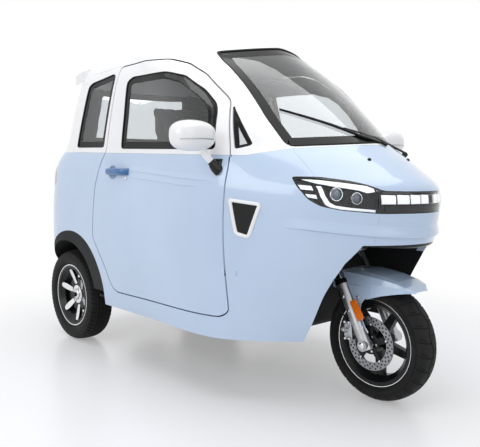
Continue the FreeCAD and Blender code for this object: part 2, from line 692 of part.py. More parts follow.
front_center = axle_point
front_rim_width = 96.0
rear_rim_width = 111.0
front_spokes = (5, 31.0, 40, 30, -16, -16, 26)
disc_carrier_r = 42.0
front_rim = wheel_rim(front_lip_r, front_rim_width, front_spokes, -32, 34, axle_r + 0.05, 62)
carrier = rod(V(0, -30, 0), V(0, -58, 0), disc_carrier_r).cut(rod(V(0, -10, 0), V(0, -80, 0), axle_r + 0.05))
front_rim = front_rim.fuse(carrier)
front_tyre = tyre_solid(front_tyre_r, front_tyre_width, front_lip_r, front_rim_width, 0.36)
disc_y = -66.0
disc_inner_r = 76.0
front_bore = rod(V(0, -200, 0), V(0, 200, 0), axle_r + 0.05)
disc = rod(V(0, disc_y, 0), V(0, disc_y + 4, 0), brake_disc_r)
disc = disc.cut(rod(V(0, disc_y - 1, 0), V(0, disc_y + 5, 0), disc_inner_r))
for k in range(5):
    arm = spoke(36, 80, 16, 12, disc_y, disc_y, 4)
    arm.rotate(V(0, 0, 0), V(0, 1, 0), 72.0 * k)
    disc = disc.fuse(arm)
disc = disc.fuse(rod(V(0, disc_y, 0), V(0, -58.2, 0), disc_carrier_r)).cut(front_bore)
for shape in (front_rim, front_tyre, disc):
    shape.translate(front_center)
parts["front_rim"] = front_rim
parts["front_tyre"] = front_tyre
parts["brake_disc"] = disc

rear_spokes = (6, -13.0, 26, 42, -14, -44, 16)
rear_rim = wheel_rim(rear_lip_r, rear_rim_width, rear_spokes, -20, 52, spindle_r + 0.05, 34)
drum_r = 92.0
drum = rod(V(0, -20, 0), V(0, rear_y - back_plate_y - 18, 0), drum_r)
rear_rim = rear_rim.fuse(drum).cut(rod(V(0, -200, 0), V(0, 200, 0), spindle_r + 0.05))
rear_rim.translate(V(rear_axle_x, -rear_y, axle_z))
rear_tyre = tyre_solid(rear_tyre_r, rear_tyre_width, rear_lip_r, rear_rim_width, 0.16)
rear_tyre.translate(V(rear_axle_x, -rear_y, axle_z))
parts["rear_rim_right"] = rear_rim
parts["rear_rim_left"] = mirrored(rear_rim)
parts["rear_tyre_right"] = rear_tyre
parts["rear_tyre_left"] = mirrored(rear_tyre)

# Fork with its axle, yoke and steering stem
slider_top_s = 262.0
fork = rod(axle_point - V(0, 128, 0), axle_point + V(0, 128, 0), axle_r)
for side in (-1, 1):
    fork = fork.fuse(rod(on_leg(-22, side), on_leg(slider_top_s, side), slider_r))
    fork = fork.fuse(rod(on_leg(slider_top_s - 14, side), on_leg(slider_top_s + 6, side), slider_r + 3))
    fork = fork.fuse(rod(on_leg(slider_top_s, side), on_leg(yoke_s + 18, side), stanchion_r))
    fork = fork.fuse(rod(axle_point + V(0, side * 76, 0), axle_point + V(0, side * 124, 0), 22))
yoke_front = fork_offset + 24
yoke_side = fork_leg_y + 24
yoke_outline = [(-30, -40), (14, -yoke_side), (yoke_front, -yoke_side), (yoke_front, -60), (30, -34),
                (30, 34), (yoke_front, 60), (yoke_front, yoke_side), (14, yoke_side), (-30, 40)]
yoke = prism_z(yoke_outline, -yoke_half, yoke_half)
yoke.rotate(V(0, 0, 0), V(0, 1, 0), -math.degrees(rake))
yoke.translate(on_axis(yoke_s))
stem_top = 880.0
fork = fork.fuse(yoke).fuse(rod(on_axis(yoke_s - 10), on_axis(stem_top), stem_r))
parts["fork"] = fork

# Mudguard over the front tyre: sections at each x give its half width, ridge height and the skirt's lower edge
guard_sections = [(700, 92, 522, 455), (763, 96, 540, 452), (830, 98, 542, 432), (880, 98, 537, 430),
                  (943, 95, 528, 451), (1000, 88, 514, 465), (1040, 74, 497, 472), (1066, 40, 479, 472)]
guard_arch = [(-1.0, 0.0), (-1.0, 0.55), (-0.93, 0.85), (-0.7, 0.96), (-0.35, 0.995), (0.0, 1.0)]
guard_wall = 3.5


def guard_section(x, half, top, low, wall):
    """Arch across the mudguard, moved in by a wall on the sides and the top."""
    half = half - wall
    tall = top - wall - low
    side = [V(x, across * half, low + up * tall) for across, up in guard_arch]
    other = [V(x, -p.y, p.z) for p in reversed(side[:-1])]
    points = side + other
    return Part.makePolygon(points + points[:1])


guard_out = [guard_section(x, half, top, low, 0.0) for x, half, top, low in guard_sections]
guard_in = [guard_section(x, half, top, low - 1.0, guard_wall) for x, half, top, low in guard_sections]
guard = Part.makeLoft(guard_out, True, True).cut(Part.makeLoft(guard_in, True, True))
arm_side = [(770, 446), (770, 480), (900, 480), (900, 446), (867, 428), (851, 408), (847, 381), (855, 352),
            (869, 324), (878, 300), (868, 289), (838, 291)]
arm_plate_y = 100.0
reflector_y = 120.0
reflector_side = rounded([(814, 416), (842, 428), (887, 358), (859, 339)], 8)
reflectors = []
for side in (-1, 1):
    plate_y = side * arm_plate_y
    guard = guard.fuse(prism_y(arm_side, plate_y - side * 4, plate_y))
    guard = guard.fuse(rod(V(842, plate_y - side * 4, 385), V(842, side * reflector_y, 385), 7))
    reflectors.append(prism_y(reflector_side, side * (reflector_y + 0.3), side * (reflector_y + 6)))
for side in (-1, 1):
    guard = guard.cut(rod(on_leg(-60, side), on_leg(slider_top_s + 8, side), slider_r + 3.3))
    guard = guard.cut(rod(on_leg(slider_top_s, side), on_leg(slider_top_s + 160, side), stanchion_r + 4))
parts["front_mudguard"] = guard
parts["side_reflectors"] = Part.makeCompound(reflectors)

# Brake caliper behind the right leg, round the rim of the disc
caliper = Part.makeBox(46, 40, 84, V(-128, -92, -12))
caliper = caliper.cut(Part.makeCylinder(brake_disc_r + 5, 14, V(0, disc_y - 5, 0), V(0, 1, 0)))
caliper = caliper.cut(Part.makeCylinder(70, 80, V(0, -100, 0), V(0, 1, 0)))
caliper.rotate(V(0, 0, 0), V(0, 1, 0), 14)
caliper.translate(axle_point - V(12, 0, 0))
parts["brake_caliper"] = caliper

# Handlebar on the stem
bar_center = on_axis(stem_top + 18)
bar = rod(on_axis(stem_top + 0.3), on_axis(stem_top + 36), 26)
bar = bar.fuse(rod(bar_center + V(0, -250, 0), bar_center + V(0, 250, 0), 11))
for side in (-1, 1):
    bar = bar.fuse(rod(bar_center + V(0, side * 150, 0), bar_center + V(0, side * 270, 0), 16))
parts["handlebar"] = bar

def side_y(x, z):
    """Distance of the side skin from the middle plane, at a place and height ahead of the rear taper."""
    taper = hermite(stations, z, 2)
    front = hermite(stations, z, 1)
    half = hermite(stations, z, 3)
    if x <= taper:
        return half
    low = 0.0
    high = 1.0
    for _ in range(40):
        middle = (low + high) / 2
        if quarter(middle, front_pull)[0] * (front - taper) < x - taper:
            low = middle
        else:
            high = middle
    return half * quarter(low, front_pull)[1]


# Door furniture, seated on the door's skin
handle_x = -246.0
handle_z = 931.0
handle_half = 88.0
handle_reach = 36.0
handle_y = side_y(handle_x, handle_z)
handle = box(handle_x - handle_half, handle_x + handle_half, -handle_y - handle_reach, -handle_y - 22,
             handle_z - 13, handle_z + 13)
for end in (-1, 1):
    post_x = handle_x + end * (handle_half - 17)
    post = box(post_x - 12, post_x + 12, -handle_y - 24, -handle_y + 20, handle_z - 11, handle_z + 11)
    handle = handle.fuse(post)
handle = handle.cut(outside)
mirror_center = V(442, -640, 1078)
mirror_half = 92.0


def mirror_section(y, size):
    """Rounded section of the mirror housing, flat at the back where the glass sits."""
    deep = 62.0 * size
    back = 20.0 * size
    tall = 54.0 * size
    top = V(mirror_center.x - back, y, mirror_center.z + tall)
    low = V(mirror_center.x - back, y, mirror_center.z - tall)
    nose = Part.BezierCurve()
    nose.setPoles([top, V(mirror_center.x + deep, y, mirror_center.z + tall * 1.1),
                   V(mirror_center.x + deep, y, mirror_center.z - tall * 1.1), low])
    return Part.Wire([nose.toShape(), Part.makeLine(low, top)])


mirror_sizes = ((-1, 0.45), (-0.85, 0.74), (-0.4, 0.96), (0.2, 1.0), (0.75, 0.8), (1, 0.5))
mirror_wires = [mirror_section(mirror_center.y + at * mirror_half, size) for at, size in mirror_sizes]
housing = Part.makeLoft(mirror_wires, True, False)
foot_y = side_y(472, 965)
arm_top = mirror_center + V(0, 40, -30)
arm = rod(V(470, -foot_y - 2, 966), arm_top, 12)
foot = box(450, 494, -foot_y - 14, -foot_y + 20, 940, 992)
mirror = housing.fuse(arm.fuse(foot).cut(outside))
parts["door_handle_right"] = handle
parts["door_handle_left"] = mirrored(handle)
parts["door_mirror_right"] = mirror
parts["door_mirror_left"] = mirrored(mirror)


def shell_point(y, z, lift):
    """Point on the nose or windscreen at a given side place and height, lifted off forwards."""
    taper = hermite(stations, z, 2)
    front = hermite(stations, z, 1)
    half = hermite(stations, z, 3)
    low = 0.0
    high = 1.0
    for _ in range(40):
        middle = (low + high) / 2
        if quarter(middle, front_pull)[1] * half > abs(y):
            low = middle
        else:
            high = middle
    return V(taper + (front - taper) * quarter(low, front_pull)[0] + lift, y, z + lift)


# Wiper: arm from its pivot on the cowl, blade along the glass
wiper_points = [shell_point(215, 1004, 12), shell_point(100, 1042, 12), shell_point(-50, 1078, 12),
                shell_point(-160, 1140, 12), shell_point(-282, 1184, 12)]
wiper = rod(shell_point(215, 1004, 1), shell_point(215, 1004, 16), 11).cut(outside)
for a, b in zip(wiper_points, wiper_points[1:]):
    wiper = wiper.fuse(rod(a, b, 5)).fuse(Part.makeSphere(5, b))
parts["wiper"] = wiper

os.makedirs("parts", exist_ok=True)
for name, shape in parts.items():
    print(name, len(shape.Solids), round(shape.Volume / 1e6, 3), shape.isValid())
    shape.exportStep("parts/" + name + ".step")
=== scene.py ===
import math
import bpy
import numpy as np
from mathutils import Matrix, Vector


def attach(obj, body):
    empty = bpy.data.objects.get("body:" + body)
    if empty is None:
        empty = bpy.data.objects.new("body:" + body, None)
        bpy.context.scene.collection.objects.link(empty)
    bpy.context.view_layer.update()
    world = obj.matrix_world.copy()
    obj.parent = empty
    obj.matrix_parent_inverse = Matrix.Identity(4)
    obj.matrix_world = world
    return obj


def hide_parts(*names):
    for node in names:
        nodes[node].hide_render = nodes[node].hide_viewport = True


# Cabin tricycle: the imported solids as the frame, with paint, glass, rubber and trim made here.
# Everything is in metres, +X forward, +Y to the left, +Z up.

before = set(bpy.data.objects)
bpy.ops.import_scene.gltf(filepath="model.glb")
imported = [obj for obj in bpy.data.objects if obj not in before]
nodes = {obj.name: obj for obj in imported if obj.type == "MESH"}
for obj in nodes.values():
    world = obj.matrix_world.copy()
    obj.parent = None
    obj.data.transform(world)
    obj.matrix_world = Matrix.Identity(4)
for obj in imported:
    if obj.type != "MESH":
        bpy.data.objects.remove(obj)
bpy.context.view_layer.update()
mm = 0.001
print("frame loaded:", len(nodes), "nodes")


# Colours and shader nodes

def linear(code):  # an sRGB hex code as linear red, green, blue and alpha
    values = np.array([int(code[i:i + 2], 16) for i in (1, 3, 5)]) / 255
    low = values / 12.92
    high = ((values + 0.055) / 1.055) ** 2.4
    return (*np.where(values <= 0.04045, low, high), 1.0)


def addNode(tree, kind, settings, links):
    # One shader node: settings go to sockets or attributes of that name, links to sockets by name or number
    node = tree.nodes.new("ShaderNode" + kind)
    for key, value in settings.items():
        if isinstance(key, int) or key in node.inputs:
            node.inputs[key].default_value = value
        else:
            setattr(node, key, value)
    for key, source in links.items():
        tree.links.new(source, node.inputs[key])
    return node


def surfaceFinish(name, row):
    # Colour follows a broad noise of a real size, roughness and relief a fine one
    dark, pale, patchMm, grainMm, smoothest, roughest, reliefMm, sockets, *lampTint = row
    material = bpy.data.materials.new(name)
    material.use_nodes = True
    tree = material.node_tree
    shader = tree.nodes["Principled BSDF"]
    for key, value in sockets.items():
        shader.inputs[key].default_value = value
    place = addNode(tree, "TexCoord", {}, {}).outputs["Object"]
    broad, fine = (addNode(tree, "TexNoise", {"Scale": 1000 / size, "Detail": detail},
                           {"Vector": place}).outputs["Fac"] for size, detail in ((patchMm, 3.0), (grainMm, 4.0)))
    ramp = addNode(tree, "ValToRGB", {}, {"Fac": broad})
    for stop, position, colour in zip(ramp.color_ramp.elements, (0.3, 0.7), (dark, pale)):
        stop.position, stop.color = position, linear(colour)
    tree.links.new(ramp.outputs["Color"], shader.inputs["Base Color"])
    rough = addNode(tree, "MapRange", {3: smoothest, 4: roughest}, {"Value": fine})
    tree.links.new(rough.outputs["Result"], shader.inputs["Roughness"])
    if reliefMm:
        relief = addNode(tree, "Bump", {"Distance": reliefMm * mm, "Strength": 1.0}, {"Height": fine})
        tree.links.new(relief.outputs["Normal"], shader.inputs["Normal"])
    if lampTint:
        # Rays from the lamps go straight through, so that what is behind the glass is lit
        rays = addNode(tree, "LightPath", {}, {})
        clear = addNode(tree, "BsdfTransparent", {"Color": linear(lampTint[0])}, {})
        mixed = addNode(tree, "MixShader", {}, {0: rays.outputs["Is Shadow Ray"], 1: shader.outputs["BSDF"],
                                                2: clear.outputs["BSDF"]})
        tree.links.new(mixed.outputs["Shader"], tree.nodes["Material Output"].inputs["Surface"])
    return material


clearCoat = {"Coat Weight": 1.0, "Coat Roughness": 0.06, "Coat IOR": 1.5}
bareMetal = {"Metallic": 1.0}
# Each finish is named for the real material and how it was made, and for the light or shade painted into it if any.
# A row holds two colours, the size of patches and of grain in mm, the least and the most roughness, the relief in
# mm, socket values, and for glass its lamp tint.
finishes = {
    # Sprayed two-layer car paint: even colour under a hard clear coat, with a trace of orange peel
    "paleBlueCarPaint": ("#B4C8E0", "#BBCEE6", 420, 3.5, 0.30, 0.36, 0.006, clearCoat),
    "whiteCarPaint": ("#E9EAEB", "#EFEFEF", 420, 3.5, 0.30, 0.36, 0.006, clearCoat),
    "deepBluePaintedAbs": ("#175B99", "#20679F", 60, 2, 0.25, 0.32, 0.004,
                           {"Coat Weight": 0.8, "Coat Roughness": 0.08}),
    # Body blue darkened for the handle's dish: painted shade of the recess under the grip
    "bluePaintDarkenedAsDishShade": ("#6788B2", "#7395BE", 60, 3.5, 0.30, 0.38, 0.004,
                        {"Coat Weight": 0.8, "Coat Roughness": 0.08}),
    # Moulded ABS with a polished tool: deep black with sharp reflections
    "glossBlackAbs": ("#0B0C0D", "#101112", 120, 3, 0.10, 0.16, 0.004, {"IOR": 1.53, "Specular IOR Level": 0.3}),
    # Moulded polypropylene with a spark-eroded grain: dull charcoal
    "grainedBlackPp": ("#1A1B1C", "#232425", 90, 1.6, 0.52, 0.66, 0.10, {"IOR": 1.49, "Specular IOR Level": 0.22}),
    "satinBlackSteel": ("#141516", "#1A1B1C", 150, 2.2, 0.38, 0.48, 0.02, {"IOR": 1.5, "Specular IOR Level": 0.3}),
    # Float glass with a grey body tint
    "greyTintedGlass": ("#E6EAEC", "#EBEEF0", 500, 60, 0.0, 0.0, 0,
                        {"Transmission Weight": 1.0, "IOR": 1.5}, "#C9CDD0"),
    "clearPolycarbonate": ("#F6F8FA", "#FDFEFF", 300, 40, 0.0, 0.015, 0,
                           {"Transmission Weight": 1.0, "IOR": 1.3}, "#F0F2F4"),
    "projectorGlass": ("#555C64", "#69717A", 60, 20, 0.0, 0.01, 0, {"Metallic": 0.55, "IOR": 1.5}),
    "redPolycarbonate": ("#7A0D12", "#8E1218", 40, 4, 0.08, 0.14, 0.01,
                         {"Coat Weight": 1.0, "Coat Roughness": 0.03, "IOR": 1.58}),
    "mouldedOrangeReflector": ("#E8690C", "#F68420", 9, 2.2, 0.12, 0.25, 0.15,
                               {"Coat Weight": 1.0, "Coat Roughness": 0.04}),
    # White opal acrylic light guides, unlit, with a faint painted glow from emission so that they read bright
    "opalAcrylicPaintedGlow": ("#F2F5F8", "#FFFFFF", 30, 6, 0.12, 0.2, 0.01,
                    {"Coat Weight": 0.6, "Emission Strength": 0.12, "Emission Color": (0.9, 0.95, 1.0, 1.0)}),
    # Cured tyre rubber: matt black that catches a grey sheen on its ribs
    "curedTyreRubber": ("#141414", "#1C1C1D", 80, 1.8, 0.62, 0.8, 0.06,
                        {"IOR": 1.52, "Specular IOR Level": 0.2, "Sheen Weight": 0.04}),
    "epdmSealRubber": ("#0D0E0F", "#131415", 60, 1.5, 0.42, 0.55, 0.03, {"IOR": 1.5, "Specular IOR Level": 0.2}),
    # Black enamel fired onto the glass as a border
    "firedBlackEnamel": ("#0A0B0C", "#0F1011", 60, 1.0, 0.07, 0.12, 0, {"IOR": 1.52, "Specular IOR Level": 0.2}),
    "chromedSteel": ("#D4D6D9", "#DEE0E3", 120, 8, 0.04, 0.09, 0, bareMetal),
    "silveredGlass": ("#C3C8CC", "#CDD2D6", 200, 40, 0.0, 0.01, 0, bareMetal),
    "castAluminium": ("#A9ACAF", "#B9BCBF", 50, 1.4, 0.34, 0.46, 0.05, bareMetal),
    "turnedAluminium": ("#E2E4E7", "#ECEEF0", 60, 1.2, 0.22, 0.32, 0.01, bareMetal),
    "groundSteelDisc": ("#8E9093", "#A2A4A7", 22, 1.0, 0.26, 0.38, 0.01, bareMetal),
    "blackPowderCoat": ("#0E0F10", "#151617", 80, 1.2, 0.28, 0.38, 0.03, {"IOR": 1.5, "Specular IOR Level": 0.3}),
    # Black vinyl leather with an embossed grain
    "embossedVinyl": ("#17181A", "#212225", 60, 2.4, 0.36, 0.5, 0.18, {"IOR": 1.5, "Specular IOR Level": 0.35}),
    # Needled felt headlining, dark so that the cabin reads as a shadow
    "needledFelt": ("#111214", "#191A1C", 40, 1.2, 0.85, 0.97, 0.2, {"Specular IOR Level": 0.1}),
    "zincPlatedSteel": ("#B7BABD", "#C6C8CA", 20, 1.5, 0.22, 0.34, 0.01, bareMetal),
}
materials = {name: surfaceFinish(name, finish) for name, finish in finishes.items()}
print("materials made:", len(materials))

# Finish and slot of looks that several pieces share
glossBlack = ("glossBlackAbs", "black_plastic")
sealRubber = ("epdmSealRubber", "black_plastic")
chrome = ("chromedSteel", "disc_steel")
bluePaint = ("paleBlueCarPaint", "blue_paint")
whitePaint = ("whiteCarPaint", "white_paint")
alloyFace = ("turnedAluminium", "rim_alloy")


def pair(*names):
    return [name + side for name in names for side in ("_right", "_left")]


# The finish of each CAD node, for as long as no piece takes its place
nodeFinish = {
    "paleBlueCarPaint": ["hood", "nose_band", "rear_panel", "rear_bumper", "front_mudguard",
                         *pair("side_panel", "door_panel")],
    "whiteCarPaint": ["roof", "rear_hatch", *pair("quarter", "door_frame", "door_mirror")],
    "greyTintedGlass": ["windscreen", "rear_window", "fixed_windows", *pair("door_glass")],
    "clearPolycarbonate": ["light_bar", "headlights"],
    "redPolycarbonate": ["tail_lamps"],
    "mouldedOrangeReflector": ["side_reflectors"],
    "grainedBlackPp": ["front_wheelhouse", "dashboard", "floor", "seat_box", "battery", *pair("rear_arch")],
    "satinBlackSteel": ["frame", "rear_frame", "steering_head", "rear_axle", "leaf_springs", "wiper", "handlebar"],
    "embossedVinyl": ["seat_front", "seat_rear"],
    "castAluminium": ["fork", "brake_caliper"],
    "blackPowderCoat": ["front_rim", *pair("rear_rim")],
    "curedTyreRubber": ["front_tyre", *pair("rear_tyre")],
    "groundSteelDisc": ["brake_disc"],
    "deepBluePaintedAbs": pair("door_handle"),
}
for finishName, members in nodeFinish.items():
    for member in members:
        nodes[member].data.materials.clear()
        nodes[member].data.materials.append(materials[finishName])


# Mesh helpers: a shape is a pair of vertices (n, 3) and a list of face index arrays

def quadsOf(index):
    return np.stack([index[:-1, :-1], index[1:, :-1], index[1:, 1:], index[:-1, 1:]], axis=-1).reshape(-1, 4)


def borderOf(grid):
    # The outermost entries of a grid, once round
    return np.concatenate([grid[:-1, 0], grid[-1, :-1], grid[:0:-1, -1], grid[0, :0:-1]])


def gridShape(points, closeU=False, closeV=False, poleFirst=False, poleLast=False):
    # A grid (rows, columns, 3) joined to quads and wrapped round where it closes; a pole row becomes one point
    rows, columns = points.shape[:2]
    index = np.arange(rows * columns).reshape(rows, columns)
    if poleFirst:
        index[0] = index[0, 0]
    if poleLast:
        index[-1] = index[-1, 0]
    if closeU:
        index = np.vstack([index, index[:1]])
    if closeV:
        index = np.hstack([index, index[:, :1]])
    quads = quadsOf(index)
    startFan = quads[:, 0] == quads[:, 3]
    endFan = quads[:, 1] == quads[:, 2]
    faces = [quads[~startFan & ~endFan], quads[startFan][:, [0, 1, 2]], quads[endFan][:, [0, 1, 3]]]
    return outward(points.reshape(-1, 3), faces)


def sheetShape(top, under):
    # A closed plate between two grids of the same size
    rows, columns = top.shape[:2]
    index = np.arange(rows * columns).reshape(rows, columns)
    quads = quadsOf(index)
    border = borderOf(index)
    ahead = np.roll(border, -1)
    shift = rows * columns
    walls = np.stack([ahead, border, border + shift, ahead + shift], axis=-1)
    faces = [quads, quads[:, ::-1] + shift, walls]
    return outward(np.concatenate([top.reshape(-1, 3), under.reshape(-1, 3)]), faces)


def outward(vertices, faces):
    # Turns every face round when the signed volume comes out negative
    volume = 0.0
    middle = vertices.mean(0)
    for face in faces:
        corner = vertices[face] - middle
        for k in range(1, face.shape[1] - 1):
            volume += np.einsum("ij,ij->", corner[:, 0], np.cross(corner[:, k], corner[:, k + 1]))
    return vertices, [face if volume > 0 else face[:, ::-1] for face in faces]


def joined(shapes):
    vertices, faces, shift = [], [], 0
    for points, sets in shapes:
        vertices.append(points)
        faces += [face + shift for face in sets]
        shift += len(points)
    return np.concatenate(vertices), faces


def mirroredShape(shape):
    vertices, faces = shape
    return vertices * (1, -1, 1), [face[:, ::-1] for face in faces]


def both(shapes):
    # The shapes of the right side and their mirror images, as one
    return joined(shapes + [mirroredShape(shape) for shape in shapes])


def addObject(name, data):
    made = bpy.data.objects.new(name, data)
    bpy.context.scene.collection.objects.link(made)
    return made


def piece(name, shape, body, finish, slot, sharpAngle=38, replaces=()):
    # A piece with Right in its name brings its mirror image on the left with it
    vertices, faces = shape
    used = np.unique(np.concatenate([face.ravel() for face in faces]))
    renumber = np.zeros(len(vertices), int)
    renumber[used] = np.arange(len(used))
    mesh = bpy.data.meshes.new(name)
    mesh.from_pydata(vertices[used].tolist(), [], [row for face in faces for row in renumber[face].tolist()])
    mesh.validate()
    mesh.polygons.foreach_set("use_smooth", np.ones(len(mesh.polygons), bool))
    mesh.set_sharp_from_angle(angle=math.radians(sharpAngle))
    mesh.update()
    made = addObject(name, mesh)
    mesh.materials.append(materials[finish])
    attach(made, body)
    if replaces:
        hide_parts(*replaces)
    if "Right" in name:
        piece(name.replace("Right", "Left"), mirroredShape(shape), body.replace("right", "left"), finish, slot,
              sharpAngle, [node.replace("right", "left") for node in replaces])


def unit(vectors):
    return vectors / np.maximum(np.linalg.norm(vectors, axis=-1, keepdims=True), 1e-12)


def turnedShape(profile, centre, axis, steps=64):
    # A turned solid: (distance along the axis, radius) in mm, swept round the axis; radius 0 makes a pole
    axis = unit(np.array(axis, float))
    across = unit(np.cross(axis, (0.0, 0.0, 1.0) if abs(axis[2]) < 0.9 else (1.0, 0.0, 0.0)))
    upward = np.cross(axis, across)
    profile = np.array(profile, float) * mm
    angle = np.linspace(0, 2 * math.pi, steps, endpoint=False)
    ring = np.cos(angle)[:, None] * across + np.sin(angle)[:, None] * upward
    points = np.array(centre) + profile[:, None, :1] * axis + profile[:, None, 1:] * ring
    poles = [radius < 1e-9 for radius in profile[[0, -1], 1]]
    return gridShape(points, closeU=not any(poles), closeV=True, poleFirst=poles[0], poleLast=poles[1])


def barShape(path, radius, sides=12, up=(0, 0, 1), flat=1.0):
    # A round or flattened bar along a path, its ends closed by a small dome
    path = np.array(path, float)
    tangent = unit(np.gradient(path, axis=0))
    across = unit(np.cross(tangent, np.array(up, float)))
    upward = np.cross(across, tangent)
    angle = np.linspace(0, 2 * math.pi, sides, endpoint=False)
    ring = np.cos(angle)[:, None] * across[:, None] + flat * np.sin(angle)[:, None] * upward[:, None]
    radius = np.broadcast_to(np.asarray(radius, float), len(path))[:, None, None]
    points = path[:, None] + ring * radius
    tip = [path[0] - tangent[0] * radius[0, 0] * 0.5, path[-1] + tangent[-1] * radius[-1, 0] * 0.5]
    ends = [np.repeat(p[None, None], sides, axis=1) for p in tip]
    return gridShape(np.concatenate([ends[0], points, ends[1]]), closeV=True, poleFirst=True, poleLast=True)


def evenly(path, count, closed=False):
    # The same path with its points at even distances
    path = np.vstack([path, path[:1]]) if closed else np.asarray(path, float)
    reach = np.concatenate([[0], np.cumsum(np.linalg.norm(np.diff(path, axis=0), axis=1))])
    at = np.linspace(0, reach[-1], count, endpoint=not closed)
    return np.stack([np.interp(at, reach, path[:, k]) for k in range(path.shape[1])], 1)


def loopOf(corners, radius, count):
    # Closed outline with its corners rounded, corners and radius in mm
    corner = np.asarray(corners, float) * mm
    back = np.roll(corner, 1, 0) - corner
    ahead = np.roll(corner, -1, 0) - corner
    shortest = np.minimum(np.linalg.norm(back, axis=1), np.linalg.norm(ahead, axis=1))
    reach = np.minimum(radius * mm, shortest / 2)[:, None]
    first = (corner + unit(back) * reach)[:, None]
    last = (corner + unit(ahead) * reach)[:, None]
    t = np.linspace(0, 1, 9)[None, :, None]
    curve = first * (1 - t) ** 2 + corner[:, None] * 2 * t * (1 - t) + last * t * t
    return evenly(curve.reshape(-1, 2), count, closed=True)


def grownLoop(loop, amount):
    # Closed outline moved outwards, amount in mm
    ahead = np.roll(loop, -1, 0) - np.roll(loop, 1, 0)
    away = unit(np.stack([ahead[:, 1], -ahead[:, 0]], 1))
    turn = np.sign(np.sum(loop[:, 0] * np.roll(loop[:, 1], -1) - loop[:, 1] * np.roll(loop[:, 0], -1)))
    return loop + away * turn * amount * mm


def onCircle(centre, angle, radius):
    # A point round an axle, the angle counted from straight up towards the front, the radius in mm
    return np.array(centre) + np.array([math.sin(angle), 0, math.cos(angle)]) * radius * mm


def vectorsOf(items, field):
    # One vector of every vertex, face or normal of a mesh, as an array (count, 3)
    values = np.empty(len(items) * 3)
    items.foreach_get(field, values)
    return values.reshape(-1, 3)


def skinOf(names):
    # Triangles of some CAD nodes in the row frame, as an array (count, 3, 3)
    found = []
    for name in names:
        mesh = nodes[name].data
        mesh.calc_loop_triangles()
        corner = np.empty(len(mesh.loop_triangles) * 3, int)
        mesh.loop_triangles.foreach_get("vertices", corner)
        turn = np.array(nodes[name].matrix_world)
        place = vectorsOf(mesh.vertices, "co") @ turn[:3, :3].T + turn[:3, 3]
        found.append(place[corner.reshape(-1, 3)])
    return np.concatenate(found)


def cross2(u, v):
    return u[..., 0] * v[..., 1] - u[..., 1] * v[..., 0]


def settle(flat, ground, chunk=300):
    # Drops flat points along an axis onto the outermost triangle of a skin. Where there is none, the nearest
    # triangle's plane is carried on. Gives points and outward normals of the same leading shape. The ground is the
    # skin's triangles, the number of the axis, and the side of it, 1 or -1, that the skin is looked at from.
    skin, axis, side = ground
    shape = np.shape(flat)[:-1]
    flat = np.asarray(flat, float).reshape(-1, 2)
    keep = [k for k in range(3) if k != axis]
    normal = unit(np.cross(skin[:, 1] - skin[:, 0], skin[:, 2] - skin[:, 0]))
    facing = (normal[:, axis] * side > 0.02) & (skin.mean(1)[:, axis] * side > 0)
    skin, normal = skin[facing], normal[facing]
    a, b, c = (skin[:, k][:, keep] for k in range(3))
    whole = cross2(b - a, c - a)
    height = np.full(len(flat), -np.inf)
    which = np.zeros(len(flat), int)
    for start in range(0, len(flat), chunk):
        p = flat[start:start + chunk, None]
        second, third = cross2(p - a, c - a) / whole, cross2(b - a, p - a) / whole
        inside = (second > -1e-4) & (third > -1e-4) & (second + third < 1.0001)
        level = skin[:, 0, axis] + second * (skin[:, 1, axis] - skin[:, 0, axis])
        level = (level + third * (skin[:, 2, axis] - skin[:, 0, axis])) * side
        level = np.where(inside, level, -np.inf)
        best = level.argmax(1)
        height[start:start + chunk] = level[np.arange(len(best)), best]
        which[start:start + chunk] = best
    points = np.empty((len(flat), 3))
    points[:, keep] = flat
    points[:, axis] = height * side
    normals = normal[which]
    missed = np.flatnonzero(~np.isfinite(height))
    corners = skin.reshape(-1, 3)
    for start in range(0, len(missed), chunk):
        lost = missed[start:start + chunk]
        gap = np.linalg.norm(flat[lost][:, None] - corners[None, :, keep], axis=-1)
        near = gap.argmin(1)
        n = normal[near // 3]
        step = flat[lost] - corners[near][:, keep]
        points[lost, axis] = corners[near, axis] - (step * n[:, keep]).sum(1) / n[:, axis]
        normals[lost] = n
    return points.reshape(*shape, 3), normals.reshape(*shape, 3)


def spotOn(place, ground):
    # The skin's point at a flat place in mm, with its outward direction
    points, normals = settle(np.array([place]) * mm, ground)
    return points[0], normals[0]


def skinRing(outer, inner, profile, ground):
    # Closed ring between two outlines on the skin; the profile holds (share across, lift in mm)
    rows = []
    for share, lift in profile:
        points, normals = settle(outer * (1 - share) + inner * share, ground)
        rows.append(points + normals * lift * mm)
    return gridShape(np.stack(rows), closeU=True, closeV=True)


def skinPlate(flat, ground, lift, depth, bulge=0.0):
    # Closed plate over a grid of flat points, following the skin; the bulge raises its middle, all in mm
    points, normals = settle(flat, ground)
    rows, columns = points.shape[:2]
    u = np.sin(np.linspace(0, math.pi, rows))[:, None, None]
    v = np.sin(np.linspace(0, math.pi, columns))[None, :, None]
    raised = lift + bulge * np.sqrt(u * v)
    return sheetShape(points + normals * raised * mm, points + normals * (lift - depth) * mm)


def fourSided(corners, rows, columns):
    # Bilinear grid over four corners in mm
    a, b, c, d = (np.array(corner, float) * mm for corner in corners)
    u = np.linspace(0, 1, rows)[:, None, None]
    v = np.linspace(0, 1, columns)[None, :, None]
    return (a * (1 - v) + b * v) * (1 - u) + (d * (1 - v) + c * v) * u


def between(lower, upper, rows, columns):
    # Grid between two polylines in mm, both resampled evenly
    low = evenly(np.array(lower, float) * mm, columns)
    high = evenly(np.array(upper, float) * mm, columns)
    u = np.linspace(0, 1, rows)[:, None, None]
    return low[None] * (1 - u) + high[None] * u


# Windows: black enamel fired on as a border inside and out, with a rubber bead round the edge

